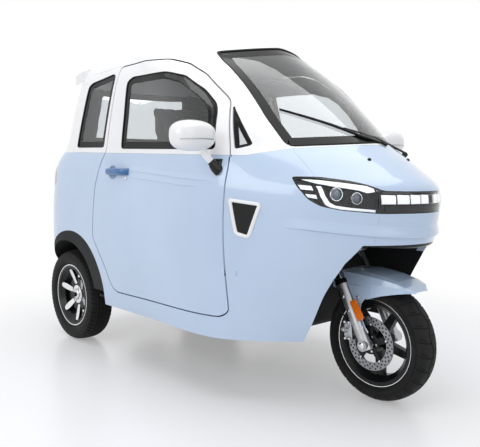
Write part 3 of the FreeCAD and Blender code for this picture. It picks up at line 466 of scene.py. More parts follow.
glassSkin = skinOf(nodeFinish["greyTintedGlass"])
enamelOutside = [(0, 0.05), (0, 0.6), (1, 0.6), (1, 0.05)]
enamelInside = [(0, -5.05), (1, -5.05), (1, -5.6), (0, -5.6)]
beadProfile = [(0, -4), (0, 4.2), (0.15, 5.2), (0.5, 5.6), (0.85, 4.6), (1, 2.4), (1, 0.3), (0.6, -4)]
windows = {
    "windscreen": dict(axis=0, side=1, border=34, body="body", corners=[
        (-343, 1035), (-346, 1149), (-336, 1255), (-328, 1343), (-314, 1415), (-286, 1468), (0, 1500), (286, 1468),
        (314, 1415), (328, 1343), (336, 1255), (346, 1149), (343, 1035), (0, 1052)], round=20, count=240),
    "rearWindow": dict(axis=0, side=-1, border=30, body="body", round=40, count=200, corners=[
        (-330, 1090), (-300, 1380), (300, 1380), (330, 1090)]),
    "doorWindowRight": dict(axis=1, side=-1, border=32, body="door_right", round=18, count=240, corners=[
        (-232, 1040), (-240, 1200), (-258, 1358), (-215, 1380), (60, 1376), (190, 1345), (306, 1276), (373, 1216),
        (392, 1183), (442, 1026)]),
    "quarterWindowRight": dict(axis=1, side=-1, border=30, body="body", round=16, count=200, corners=[
        (-660, 1053), (-622, 1368), (-590, 1386), (-400, 1412), (-376, 1402), (-374, 1376), (-392, 1049)]),
    "cornerWindowRight": dict(axis=1, side=-1, border=13, body="body", round=12, count=120, corners=[
        (432, 1205), (566, 1042), (514, 1026)]),
}
for name, window in windows.items():
    outline = loopOf(window["corners"], window["round"], window["count"])
    inside = grownLoop(outline, -window["border"])
    ground = (glassSkin, window["axis"], window["side"])
    enamel = joined([skinRing(grownLoop(outline, -1), inside, profile, ground)
                     for profile in (enamelOutside, enamelInside)])
    bead = skinRing(grownLoop(outline, 0.4), grownLoop(outline, -5.0), beadProfile, ground)
    piece(name + "Enamel", enamel, window["body"], "firedBlackEnamel", "black_plastic")
    piece(name + "Bead", bead, window["body"], *sealRubber)
print("window borders done")


# Lamps: a clear cover over a black tray, with white light guides and projector lenses in it

lampGround = (skinOf(["light_bar", "headlights"]), 0, 1)
lampCount = dict(rows=14, columns=72)
coverTop, coverUnder, wallTop = 0.2, 2.4, 2.6
headLower = [(-396, 884), (-378, 838), (-350, 811), (-300, 796), (-206, 785)]
headUpper = [(-396, 922), (-330, 921), (-260, 906), (-218, 890), (-206, 881)]
barLower = [(-204, 785), (-200, 784), (200, 784), (204, 785)]
barUpper = [(-204, 881), (-186, 870), (-90, 867), (90, 867), (186, 870), (204, 881)]


def lampCase(lower, upper, edge, depth):
    # The clear cover, and a tray behind it: its floor lies that far down, and its walls lean in by a share
    grid = between(lower, upper, **lampCount)
    points, normals = settle(grid, lampGround)
    cover = sheetShape(points - normals * coverTop * mm, points - normals * coverUnder * mm)
    floor = sheetShape(points - normals * depth * mm, points - normals * (depth + 3) * mm)
    rim, out, flat = borderOf(points), borderOf(normals), borderOf(grid)
    inner, innerOut = settle(flat + (grid.mean((0, 1)) - flat) * edge, lampGround)
    wall = gridShape(np.stack([rim - out * wallTop * mm, inner - innerOut * wallTop * mm,
                               inner - innerOut * (depth + 1) * mm, rim - out * (depth + 1) * mm]),
                     closeU=True, closeV=True)
    return cover, joined([floor, wall])


cover, tray = lampCase(headLower, headUpper, edge=0.05, depth=20)
piece("headlampTrayRight", tray, "body", *glossBlack)
piece("headlampCovers", both([cover]), "body", "clearPolycarbonate", "lamp_lens", replaces=["headlights"])
cover, tray = lampCase(barLower, barUpper, edge=0.03, depth=18)
piece("lightBarTray", tray, "body", *glossBlack)
piece("lightBarCover", cover, "body", "clearPolycarbonate", "lamp_lens", replaces=["light_bar"])


def lampStrip(lower, upper, lift, bulge):
    return skinPlate(between(lower, upper, 6, 30), lampGround, lift, depth=5, bulge=bulge)


def lampBlock(corners, rows, columns, lift=-4, depth=5, bulge=0.0):
    return skinPlate(fourSided(corners, rows, columns), lampGround, lift, depth, bulge)


# White guides with a painted glow: a brow strip, two short strips and an L-shaped line in each headlamp, eight bar
# blocks
brow = lampStrip([(-348, 899), (-310, 887), (-252, 872), (-233, 862), (-204, 868)],
                 [(-375, 913), (-335, 910), (-266, 897), (-226, 889), (-204, 874)], lift=-4, bulge=0.6)
shortUpper = lampBlock([(-389, 875), (-362, 871), (-363, 888), (-391, 892)], 4, 8, bulge=0.4)
shortLower = lampBlock([(-377, 845), (-356, 839), (-358, 854), (-384, 858)], 4, 8, bulge=0.4)
lowLine = lampStrip([(-352, 888), (-349, 848), (-339, 817), (-321, 803), (-281, 794), (-212, 788)],
                    [(-341, 888), (-338, 852), (-329, 826), (-315, 814), (-277, 806), (-212, 798)], lift=-5,
                    bulge=0.5)
piece("headlampGuides", both([brow, shortUpper, shortLower, lowLine]), "body", "opalAcrylicPaintedGlow", "lamp_lens")
barBlocks = [lampBlock([(y0, 820), (y1, 820), (y1, 853), (y0, 855)], 5, 14, bulge=0.8)
             for y0, y1 in ((-196, -152), (-146, -104), (-98, -60), (-54, -18))]
piece("lightBarBlocks", both(barBlocks), "body", "opalAcrylicPaintedGlow", "lamp_lens")
greyStrips = [lampBlock([(-196, 861), (196, 861), (186, 866), (-186, 866)], 3, 60, lift=-6, depth=4),
              lampBlock([(-180, 787), (180, 787), (184, 813), (-184, 813)], 4, 60, lift=-6, depth=4)]
piece("lightBarStrips", joined(greyStrips), "body", "grainedBlackPp", "black_plastic")

# Projector lenses: glass balls set in bright rings, turned about the outward direction of the nose
projectors, rings = [], []
for y, z, radius in ((-311, 858, 26), (-262, 842, 23)):
    spot, out = spotOn((y, z), lampGround)
    aim = unit(out * (1, 0.7, 1) + (0.4, 0, 0))
    centre = spot - out * 10 * mm
    lens = [(-6, 0), (-6, radius * 0.82), (-1, radius * 0.82), (2, radius * 0.7), (4.4, radius * 0.42), (5.2, 0)]
    ring = [(-8, radius), (-1, radius), (0.6, radius * 0.96), (0.6, radius * 0.88), (-1.4, radius * 0.84),
            (-8, radius * 0.84)]
    projectors.append(turnedShape(lens, centre, aim, steps=40))
    rings.append(turnedShape(ring, centre, aim, steps=40))
piece("projectorLenses", both(projectors), "body", "projectorGlass", "lamp_lens")
piece("projectorRings", both(rings), "body", *chrome)
print("lamps done")


# Tyres: a closed section swept round the axle, with grooves cut where the tread pattern says

def tyreShape(tyre, centre):
    radius, lipR, half = tyre["radius"], tyre["lipR"], tyre["width"] / 2
    # The bead lies inside the rim's flanges and its seat below their lips; the crown ends short of the sidewalls
    drop = tyre["roundness"] * half
    bead = tyre["rimWidth"] / 2 - 6.3
    seat = lipR - 13.7
    # From the bead seat up the sidewall to the crown and down again, then back across the inside
    side = [(bead, seat), (bead + 1, lipR + 1), (bead + 6, lipR + 5), (half - 3, lipR + 16),
            (half - 0.4, (radius + lipR) / 2), (half - 3, radius - drop - 13)]
    side = evenly(np.array(side), 12)
    shoulder = half - 5
    y = np.linspace(shoulder, -shoulder, 54)
    share = np.abs(y) / shoulder
    crown = radius - drop * (0.35 * share ** 2 + 0.65 * share ** 4) - 2.0 * share ** 8
    outer = np.concatenate([side, np.stack([y, crown], 1), side[::-1] * (-1, 1)])
    inner = np.stack([np.linspace(-bead, bead, 8)[1:-1], np.full(6, seat - 0.2)], 1)
    section = np.concatenate([outer, inner])
    angle = np.linspace(0, 2 * math.pi, tyre["turns"], endpoint=False)[:, None]
    low = np.repeat(section[None, :, 1], tyre["turns"], axis=0)
    low[:, len(side):len(side) + len(y)] -= tyre["tread"](angle, y[None])
    sideways = np.broadcast_to(section[:, 0], low.shape)
    points = np.stack([low * np.sin(angle), sideways, low * np.cos(angle)], axis=-1) * mm + np.array(centre)
    return gridShape(points, closeU=True, closeV=True)


def groove(distance, half, soft=1.0):
    # 1 inside a groove of this half width, falling to 0 over a soft edge, in mm
    return np.clip((half + soft - np.abs(distance)) / soft, 0, 1)


def pitchOffset(angle, count):
    # How far an angle is from the nearest of so many equal marks
    pitch = 2 * math.pi / count
    return np.mod(angle + pitch / 2, pitch) - pitch / 2


def frontTread(angle, y):
    # Pairs of long curved grooves that sweep back from the crown, a short one between them, and a wavy one round the
    # middle
    count, crownR, out = 26, 238, np.abs(y)
    bend = 0.16 * (out / 60) ** 1.5
    along = pitchOffset(angle + bend + np.where(y > 0, math.pi / count, 0), count) * crownR - out * 0.42 + 12
    main = groove(along, 2.1) * (out > 7) * (out < 57)
    centre = groove(y - 6 * np.sin(count / 2 * angle), 1.8)
    short = groove(pitchOffset(angle + 0.03, count) * crownR + out * 0.5, 1.4) * (out > 30) * (out < 52)
    return 4.6 * np.maximum(np.maximum(main, centre), short * 0.8)


def rearTread(angle, y):
    # Three rings of grooves, slightly wavy, with cross cuts on the shoulders
    count, crownR, out = 60, 240, np.abs(y)
    wave = 1.3 * np.sin(count * angle)
    rings = np.maximum(groove(y - 20 - wave, 2.4), np.maximum(groove(y + wave, 2.4), groove(y + 20 - wave, 2.4)))
    along = pitchOffset(angle + out * 0.0012, count) * crownR
    cuts = groove(along, 1.2) * (out > 34)
    fine = groove(along + 6, 0.7) * (out > 4) * (out < 16)
    return 5.2 * np.maximum(rings, np.maximum(cuts * 0.8, fine * 0.5))


frontTyre = dict(radius=242.9, width=128, lipR=179, rimWidth=96, roundness=0.36, tread=frontTread, turns=780)
rearTyre = dict(radius=246.9, width=134.6, lipR=169, rimWidth=111, roundness=0.16, tread=rearTread, turns=720)
frontCentre = (0.8775, 0, 0.243)
rearWheels = {"right": (-1, (-0.8125, -0.4625, 0.247)), "left": (1, (-0.8125, 0.4625, 0.247))}
piece("frontTyreTread", tyreShape(frontTyre, frontCentre), "front_wheel", "curedTyreRubber", "tyre", sharpAngle=30,
      replaces=["front_tyre"])
for side, (sign, centre) in rearWheels.items():
    piece("rearTyreTread_" + side, tyreShape(rearTyre, centre), "rear_wheel_" + side, "curedTyreRubber", "tyre",
          sharpAngle=30, replaces=["rear_tyre_" + side])
print("tyres done")


# Wheel trim: polished lips, spoke faces, caps, nuts and valves

def roundNuts(centre, axis, count, pitchR, radius, height, face, first=0.0):
    # Hexagon nuts with a domed top on a pitch circle, standing on a face that far along the axis, in mm
    profile = [(face, 0), (face, radius), (face + height * 0.8, radius), (face + height, radius * 0.8),
               (face + height * 1.2, radius * 0.5), (face + height * 1.25, 0)]
    return joined([turnedShape(profile, onCircle(centre, first + 2 * math.pi * k / count, pitchR), axis, steps=6)
                   for k in range(count)])


def spokePlate(angle, spoke, centre, sign):
    # A plate on the face of a tapered spoke, its middle raised by the bow; the sign is -1 for the right side. Reach,
    # width and face hold the values at the hub and at the rim, in mm.
    u = np.linspace(0, 1, spoke["rows"])[:, None]
    v = np.linspace(-1, 1, 9)[None]
    r, width, face = (first + (last - first) * u for first, last in (spoke["reach"], spoke["width"], spoke["face"]))
    x = v * width / 2
    z = np.broadcast_to(r, x.shape)
    grids = []
    for y in (face + spoke["bow"] * (1 - v ** 4), np.broadcast_to(face - spoke["depth"], x.shape)):
        grid = [x * math.cos(angle) + z * math.sin(angle), sign * y, z * math.cos(angle) - x * math.sin(angle)]
        grids.append(np.stack(grid, -1) * mm + np.array(centre))
    return sheetShape(*grids)


rearSpoke = dict(reach=(46, 150), width=(24, 42), face=(15.6, 45.6), depth=1.0, rows=10, bow=1.0)
rearLip = [(49.2, 156), (55.3, 163), (56.2, 168.2), (55.6, 169.2), (54.4, 169.2), (49.2, 169.2)]
rearNuts = dict(count=4, pitchR=39, radius=6.5, height=6, face=22.4, first=0.4)
hubRing = [(20.2, 30), (20.2, 48), (21.4, 50), (22.6, 46), (22.6, 30)]
hubCap = [(19, 0), (19, 29), (27, 29), (31, 26), (33.4, 18), (34.2, 8), (34.4, 0)]
valve = [(30, 0), (30, 4.5), (46, 4.0), (47, 3.0), (56, 3.0), (57, 0)]
for side, (sign, centre) in rearWheels.items():
    axis, body = (0, sign, 0), "rear_wheel_" + side
    faces = [turnedShape(rearLip, centre, axis, steps=128)]
    faces += [spokePlate(math.radians(-13 + 60 * k) * -sign, rearSpoke, centre, sign) for k in range(6)]
    faces.append(turnedShape(hubRing, centre, axis))
    piece("rearRimFaces_" + side, joined(faces), body, *alloyFace)
    piece("rearRimCap_" + side, turnedShape(hubCap, centre, axis), body, *chrome)
    piece("rearRimNuts_" + side, roundNuts(centre, axis, **rearNuts), body, *chrome)
    piece("rearValve_" + side, turnedShape(valve, onCircle(centre, 2.9, 146), axis, steps=16), body, *sealRubber)
frontLip = [(41.6, 170), (46.6, 173.5), (48.3, 177.6), (48.3, 179.4), (46.6, 179.6), (42.0, 179.4)]
frontLips = [turnedShape(frontLip, frontCentre, (0, sign, 0), steps=144) for sign in (-1, 1)]
piece("frontRimLips", joined(frontLips), "front_wheel", *alloyFace)

# Front disc drilled with three rows of holes on a black carrier
discY, discThick = -66.0, 4.0
holeCount, holeRows = 24, ((84, 0.0), (93.5, 0.5), (103, 0.0))
discRadii = np.linspace(77, 110, 23)
discAngles = np.linspace(0, 2 * math.pi, 432, endpoint=False)


def discFace(at, lift):
    # The rubbing ring with its holes pushed in as dimples through half the thickness
    r, angle = np.meshgrid(discRadii, discAngles, indexing="ij")
    sunk = np.zeros_like(r)
    for pitchR, shift in holeRows:
        turn = np.mod(angle * holeCount / (2 * math.pi) + shift + 0.5, 1) - 0.5
        distance = np.hypot(turn * 2 * math.pi / holeCount * r, r - pitchR)
        sunk = np.maximum(sunk, np.clip((4.0 - distance) / 0.8, 0, 1))
    y = at + lift * (0.35 - 1.9 * sunk)
    return np.stack([r * np.sin(angle), y, r * np.cos(angle)], -1)


discGrid = np.concatenate([discFace(discY, -1.0), discFace(discY + discThick, 1.0)[::-1]])
piece("drilledDisc", gridShape(discGrid * mm + np.array(frontCentre), closeU=True, closeV=True), "front_wheel",
      "groundSteelDisc", "disc_steel", sharpAngle=30, replaces=["brake_disc"])
rightward = (0, -1, 0)
# Black plugs fill the drilled holes: painted shade for the dark seen through them
holeShadePlug = [(61.3, 0), (61.3, 3.4), (66.7, 3.4), (66.7, 0)]
discHoleShadePlugs = []
for pitchR, shift in holeRows:
    for angle in (np.arange(holeCount) + shift) * 2 * math.pi / holeCount:
        discHoleShadePlugs.append(turnedShape(holeShadePlug, onCircle(frontCentre, angle, pitchR), rightward, steps=12))
piece("discHoleShadePlugs", joined(discHoleShadePlugs), "front_wheel", "satinBlackSteel", "black_paint")
carrierArm = dict(reach=(38, 82), width=(20, 16), face=(70.4, 66.8), depth=5, rows=8, bow=0.6)
carrier = [turnedShape([(62.5, 20), (70.4, 20), (71, 40), (70, 43), (62.5, 43)], frontCentre, rightward, steps=72)]
carrier += [spokePlate(math.radians(72 * k), carrierArm, frontCentre, -1) for k in range(5)]
piece("discCarrier", joined(carrier), "front_wheel", "blackPowderCoat", "black_paint")
discBolts = [roundNuts(frontCentre, rightward, count=5, pitchR=31, radius=5.5, height=1.4, face=70.6, first=0.3),
             roundNuts(frontCentre, rightward, count=5, pitchR=79, radius=5.0, height=3, face=67.2)]
piece("discBolts", joined(discBolts), "front_wheel", *chrome)
print("wheels done")


# Body details

sideGround = (skinOf(["side_panel_right", "door_panel_right"]), 1, -1)
doorPanelGround = (skinOf(["door_panel_right"]), 1, -1)
noseGround = (skinOf(["nose_band", "hood", *pair("side_panel")]), 0, 1)

# Ornament behind the front wheel: a slanted white frame with a black inlay
ornamentCorners = [(531, 837), (648, 822), (658, 810), (618, 690), (606, 682), (566, 693), (557, 703)]
ornamentOuter = loopOf(ornamentCorners, 7, 160)
ornamentInner = grownLoop(ornamentOuter, -13)
frameProfile = [(0, -1), (0, 3.4), (0.12, 5), (0.5, 5.8), (0.88, 5), (1, 3.4), (1, -1)]
shares = np.linspace(1, 0, 7)[:, None, None]
inlayFlat = ornamentInner.mean(0) + (grownLoop(ornamentInner, 1)[None] - ornamentInner.mean(0)) * shares
inlayTop, inlayOut = settle(inlayFlat, sideGround)
inlay = gridShape(np.concatenate([(inlayTop - inlayOut * mm)[::-1], inlayTop + inlayOut * 1.6 * mm]), closeV=True,
                  poleFirst=True, poleLast=True)
piece("ornamentFrameRight", skinRing(ornamentOuter, ornamentInner, frameProfile, sideGround), "body", *whitePaint)
piece("ornamentInlayRight", inlay, "body", *glossBlack)

# Door handle: a bowed grip over a round dish, with a lock barrel beside it
gripX = np.linspace(-334, -158, 33)
gripSkin, gripOut = settle(np.stack([gripX, np.full(33, 931)], 1) * mm, sideGround)
share = np.linspace(-1, 1, 33)
reach = 32 * (1 - np.abs(share) ** 6)
gripPath = gripSkin + gripOut * (reach - 3)[:, None] * mm
grip = barShape(gripPath, (13 + 3.5 * (1 - share ** 2)) * mm, sides=20, flat=0.5, up=(0, -1, 0))
gripBase = skinPlate(fourSided([(-338, 915), (-152, 915), (-152, 948), (-338, 948)], 8, 24), sideGround,
                     lift=1, depth=3, bulge=5)
dishProfile = [(-2, 33), (2.6, 33), (3.4, 31), (1.6, 27), (0.4, 16), (0.2, 0)]
lockProfile = [(-1, 0), (-1, 7.5), (5.6, 7.5), (6.6, 6), (6.0, 3.5), (6.2, 0)]
piece("handleGripRight", joined([grip, gripBase]), "door_right", "deepBluePaintedAbs", "handle_blue",
      replaces=["door_handle_right"])
# The dish is the body blue darkened: painted shade in the recess under the grip
piece("handleDishRight", turnedShape(dishProfile, *spotOn((-292, 929), sideGround), steps=48), "door_right",
      "bluePaintDarkenedAsDishShade", "blue_paint")
piece("handleLockRight", turnedShape(lockProfile, *spotOn((-171, 902), sideGround), steps=24), "door_right", *chrome)

# Door mirror: rounded white shell, glass in a black bezel, signal strip, white neck on a black foot
mirrorCentre = np.array([442, -634, 1078]) * mm
mirrorX, mirrorY, mirrorZ, shellBackX = 64, 97, 62, -24
angleU = np.linspace(0, math.pi, 29)[:, None]
angleV = np.linspace(0, 2 * math.pi, 56, endpoint=False)[None]


def rounded(value, power):
    return np.sign(value) * np.abs(value) ** power


# The shell is a superellipsoid, flattened at the back where the glass sits: x from back to front, y out, z up
across = -mirrorY * rounded(np.cos(angleU), 0.85) * np.ones_like(angleV)
narrow = 0.80 - 0.20 * (across / mirrorY)
upright = mirrorZ * rounded(np.sin(angleU), 0.72) * rounded(np.sin(angleV), 0.80) * (0.86 + 0.14 * narrow)
forward = np.maximum(mirrorX * rounded(np.sin(angleU), 0.72) * rounded(np.cos(angleV), 0.9), shellBackX)
shellShape = gridShape(np.stack([forward, across, upright], -1) * mm + mirrorCentre, closeV=True, poleFirst=True,
                       poleLast=True)
turnGlass = np.linspace(0, 2 * math.pi, 72, endpoint=False)
glassY = -84 * rounded(np.cos(turnGlass), 0.8)
glassZ = 50 * rounded(np.sin(turnGlass), 0.7)


def backPlate(grow, x0, x1):
    # A flat disc of the glass's outline, from x0 at the back to x1 in front
    rim = np.stack([np.zeros(72), glassY * grow, glassZ * grow], -1)
    rows = [rim * 0 + (x1, 0, 0), rim * 0.5 + (x1, 0, 0), rim + (x1, 0, 0), rim + (x0, 0, 0), rim * 0 + (x0, 0, 0)]
    return gridShape(np.stack(rows) * mm + mirrorCentre, closeV=True, poleFirst=True, poleLast=True)


signalY = np.linspace(-84, 62, 40)
signalX = mirrorX * (1 - np.abs(signalY / mirrorY) ** 2.6) ** 0.5 * 0.985
signalPath = np.stack([signalX, signalY, -13 - 4 * (signalY / mirrorY) ** 2], -1) * mm + mirrorCentre
signal = barShape(signalPath, 3.6 * mm, sides=12, flat=0.8, up=(0, 0, 1))
footSpot = spotOn((472, 965), doorPanelGround)[0]
neckPath = evenly(np.array([footSpot + (-0.004, -0.030, 0.010), (0.462, -0.588, 1.008), (0.452, -0.604, 1.040)]), 14)
neck = barShape(neckPath, np.linspace(14, 17, 14) * mm, sides=20, flat=0.75, up=(1, 0, 0))
footPath = evenly(footSpot + np.array([(0.004, 0.002, -0.022), (0, -0.016, -0.008), (-0.003, -0.034, 0.014)]), 10)
foot = barShape(footPath, np.array([25, 25, 24, 23, 22, 21, 20, 18, 17, 16]) * mm, sides=20, flat=0.8, up=(1, 0, 0))
footPlate = skinPlate(fourSided([(452, 941), (486, 941), (486, 988), (452, 988)], 8, 8), doorPanelGround,
                      lift=3, depth=5, bulge=4)
piece("mirrorShellRight", joined([shellShape, neck]), "door_right", *whitePaint, replaces=["door_mirror_right"])
piece("mirrorBezelRight", backPlate(1.06, -26.5, -23), "door_right", *glossBlack)
piece("mirrorGlassRight", backPlate(0.97, -27.2, -26), "door_right", "silveredGlass", "disc_steel")
piece("mirrorSignalRight", signal, "door_right", "castAluminium", "fork_metal")
piece("mirrorFootRight", joined([foot, footPlate]), "door_right", *glossBlack)


def fadeTowardsEnds(count, share, power):
    # 1 along a line, falling to 0 over a share of it at both ends
    return np.clip((1 - np.abs(np.linspace(-1, 1, count))) / share, 0, 1)[:, None] ** power


def pressedShape(line, ground, levels, fade, sink, thick):
    # A pressing laid on the skin: its levels hold the distance below the line and the lift, in mm, and its edges
    # are sunk a little
    tops, unders = [], []
    for down, lift in levels:
        points, out = settle(line + np.array([0, -down * mm]), ground)
        tops.append(points + out * (lift * fade - sink * (lift == 0)) * mm)
        unders.append(points - out * thick * mm)
    return sheetShape(np.stack(tops), np.stack(unders))


# A pressed ridge round the nose under the lamps: a slow upper flank and a sharp lower edge
ridgeHalf = np.array([(-425, 731), (-381, 727), (-348, 721), (-295, 713), (-225, 704), (-150, 698), (-75, 694),
                      (0, 693)])
ridgeLine = evenly(np.concatenate([ridgeHalf, ridgeHalf[-2::-1] * (-1, 1)]) * mm, 121)
ridgeLevels = [(-40, 0), (-28, 2.4), (-14, 7.0), (-4, 10.6), (0, 11.2), (2.5, 9.6), (6, 0)]
ridgeFade = fadeTowardsEnds(121, 0.16, 0.7)
piece("noseRidge", pressedShape(ridgeLine, noseGround, ridgeLevels, ridgeFade, sink=0.4, thick=2 * ridgeFade),
      "body", *bluePaint)

# Two pressed creases run forward from the door handle, each with a slow upper flank and a sharp lower edge
creaseLines = ([(-146, 940), (38, 928), (189, 918), (329, 909), (462, 901)],
               [(-140, 908), (37, 897), (288, 883), (380, 878)])
creaseLevels = [(-24, 0), (-15, 1.0), (-7, 2.4), (-2, 3.4), (0, 3.6), (1.5, 2.8), (3.5, 0)]
creaseFade = fadeTowardsEnds(90, 0.2, 0.8)
creases = [pressedShape(evenly(np.array(line) * mm, 90), sideGround, creaseLevels, creaseFade, sink=0.3, thick=1.5)
           for line in creaseLines]
piece("doorCreasesRight", joined(creases), "door_right", *bluePaint)

# Black lip under the nose, thinning to both ends
lipShare = np.linspace(-1, 1, 61)
lipBack, lipOut = settle(np.stack([226 * lipShare, np.full(61, 670)], 1) * mm, noseGround)
lipPath = lipBack - lipOut * 14 * mm + (0, 0, -0.014)
lipPath[:, 2] += 0.006 * np.abs(lipShare) ** 3
piece("noseLip", barShape(lipPath, (12 - 6 * lipShare ** 2) * mm, sides=16, flat=0.9), "body", *glossBlack)

# Washer nozzles on the hood
nozzleProfile = [(-1, 0), (-1, 8), (2, 7.6), (5, 5), (6, 0)]
nozzles = [turnedShape(nozzleProfile, *spotOn((y, 985), noseGround), steps=20) for y in (-130, 130)]
piece("washerNozzles", joined(nozzles), "body", *sealRubber)

# Wiper: pivot cap, tapered arm, and a blade of frame and rubber lying on the glass
wipeGround = (skinOf(["windscreen", "roof", "hood"]), 0, 1)
pivot, pivotOut = spotOn((215, 1004), noseGround)
bladeFlat = evenly(np.array([(60, 1042), (-50, 1072), (-160, 1128), (-286, 1186)]) * mm, 40)
blade, bladeOut = settle(bladeFlat, wipeGround)
armEnd = blade[19] + bladeOut[19] * 13 * mm
armMiddle = (pivot + armEnd) / 2 + bladeOut[10] * 16 * mm
armPath = evenly(np.stack([pivot + pivotOut * 12 * mm, armMiddle, armEnd]), 24)
armPath[:, 2] += 0.004 * np.sin(np.linspace(0, math.pi, 24))
bladeRadius = np.interp(np.linspace(-1, 1, 40), [-1, 0, 1], [2.5, 5.2, 2.5]) * mm
wiper = [turnedShape([(-2, 0), (-2, 12), (9, 12), (14, 10), (17, 5), (17.4, 0)], pivot, pivotOut, steps=32),
         barShape(armPath, np.linspace(8, 4.5, 24) * mm, sides=12, flat=0.55, up=(1, 0, 1)),
         barShape(blade + bladeOut * 8.5 * mm, bladeRadius, sides=12, flat=0.7, up=(1, 0, 1))]
rubber = barShape(blade + bladeOut * 3.4 * mm, 2.6 * mm, sides=8, flat=1.6, up=(1, 0, 1))
piece("wiperArm", joined(wiper), "body", "satinBlackSteel", "black_plastic", replaces=["wiper"])
piece("wiperRubber", rubber, "body", *sealRubber)
print("body details done")


# Door seal: one strip behind the gap, from the pillar over the roof edge, down the rear and along the sill

doorGround = (skinOf(["door_panel_right", "door_frame_right", "side_panel_right", "quarter_right", "roof",
                      "door_glass_right"]), 1, -1)
sealRun = [(504, 1006), (412, 1228), (347, 1281), (263, 1347), (150, 1404), (40, 1433), (-130, 1443), (-345, 1438),
           (-352, 1300), (-362, 1030), (-414, 966), (-458, 864), (-475, 738), (-486, 600), (-390, 483),
           (-325, 371), (-285, 348), (60, 351), (440, 357)]
sealSkin, sealOut = settle(evenly(np.array(sealRun) * mm, 260), doorGround)
seal = barShape(sealSkin - sealOut * 37.5 * mm, 6.0 * mm, sides=10, up=(0, 1, 0.2))
piece("doorSealRight", seal, "body", *sealRubber)
print("seals done")


# Fork, caliper, hose and mudguard fittings

rake, legY = math.radians(28), 98
axisUp = np.array([-math.sin(rake), 0, math.cos(rake)])
axle = np.array(frontCentre)


def onLeg(s, side):
    # A point on a fork leg's middle line, s mm up from the axle
    return axle + axisUp * s * mm + np.array([0, side * legY * mm, 0])


forkBlack, forkBright = [], []
sealCollar = [(262, 17), (262, 28.2), (276, 27.6), (282, 24), (285, 17)]
tubeSleeve = [(285.5, 16.7), (285.5, 17.6), (420, 17.6), (420, 16.7)]
axleNut = [(119, 0), (119, 15), (128.5, 15), (130.5, 12), (130.5, 0)]
for side in (-1, 1):
    aside = (0, side, 0)
    forkBlack.append(turnedShape(sealCollar, onLeg(0, side), axisUp, steps=48))
    forkBright.append(turnedShape(tubeSleeve, onLeg(0, side), axisUp, steps=48))
    forkBright.append(turnedShape(axleNut, axle, aside, steps=6))
    for s, radius in ((150, 6.5), (210, 6.5), (-6, 5.5)):
        bolt = [(20, 0), (20, radius), (27, radius), (28.5, radius * 0.7), (28.5, 0)]
        forkBright.append(turnedShape(bolt, onLeg(s, side), aside, steps=6))
piece("forkDustSeals", joined(forkBlack), "steering", *sealRubber)
piece("forkBrightParts", joined(forkBright), "steering", *chrome)

# Caliper: two rounded halves over the disc's edge, with piston caps, a bridge and a hose to the yoke
caliperPlace = axle + np.array([-0.100, 0, 0.040])
caliperParts = []
for y0, y1 in ((-92, -72), (-61, -54)):
    u = np.linspace(-1, 1, 15)
    grid = np.stack(np.meshgrid(u, u, indexing="ij"), -1)
    x = 21 * grid[..., 0] * (1 - 0.10 * grid[..., 1] ** 2) - 4 * grid[..., 1]
    z = 40 * grid[..., 1] * (1 - 0.12 * grid[..., 0] ** 2)
    dome = 6 * (1 - grid[..., 0] ** 4) * (1 - grid[..., 1] ** 4)
    face = np.stack([x, np.full_like(x, y0) + 5 - dome * (y0 < -80), z], -1) * mm + caliperPlace
    back = np.stack([x, np.full_like(x, y1), z], -1) * mm + caliperPlace
    caliperParts.append(sheetShape(face, back))
pistonCap = [(0, 0), (0, 14), (6, 14), (7.5, 12), (6.5, 9), (6.5, 0)]
caliperParts += [turnedShape(pistonCap, caliperPlace + np.array([0, -0.087, z * mm]), rightward, steps=40)
                 for z in (-18, 18)]
bridge = caliperPlace + np.array([(-0.022, -0.088, 0.0), (-0.027, -0.070, 0.0), (-0.022, -0.056, 0.0)])
caliperParts.append(barShape(evenly(bridge, 10), 0.011, sides=14))
piece("caliperCastings", joined(caliperParts), "steering", "castAluminium", "cast_alloy", replaces=["brake_caliper"])
caliperBolt = [(0, 0), (0, 6), (6, 6), (7.5, 4), (7.5, 0)]
bolts = [turnedShape(caliperBolt, caliperPlace + np.array([x * mm, -0.090, z * mm]), rightward, steps=6)
         for x, z in ((-12, 34), (10, 36), (-8, -34), (14, -32))]
piece("caliperBolts", joined(bolts), "steering", *chrome)
hosePath = np.array([caliperPlace + (-0.006, -0.086, 0.042), caliperPlace + (-0.040, -0.100, 0.090),
                     *(onLeg(s, -1) + shift for s, shift in ((190, (-0.036, 0, 0)), (270, (-0.040, 0.004, 0)),
                                                             (360, (-0.030, 0.018, 0)), (430, (-0.022, 0.03, 0))))])
knots = np.linspace(0, 1, len(hosePath))
fineKnots = np.linspace(0, 1, 60)
hose = np.stack([np.interp(fineKnots, knots, hosePath[:, k]) for k in range(3)], 1)
for _ in range(12):
    hose[1:-1] = (hose[:-2] + 2 * hose[1:-1] + hose[2:]) / 4
piece("brakeHose", barShape(hose, 3.6 * mm, sides=12, up=(0, 1, 0)), "steering", *sealRubber)

# Bolts on the mudguard's arms
guardBolt = [(-1, 0), (-1, 6.5), (3.4, 6.5), (4.6, 4.5), (4.6, 0)]
guardBolts = [turnedShape(guardBolt, np.array([x * mm, side * 0.100, z * mm]), (0, side, 0), steps=6)
              for side in (-1, 1) for x, z in ((836, 432), (862, 312), (846, 372))]
piece("mudguardBolts", joined(guardBolts), "steering", *chrome)
print("fork details done")


# Rear: a blank number plate on its carrier, two bolts and the hatch handle

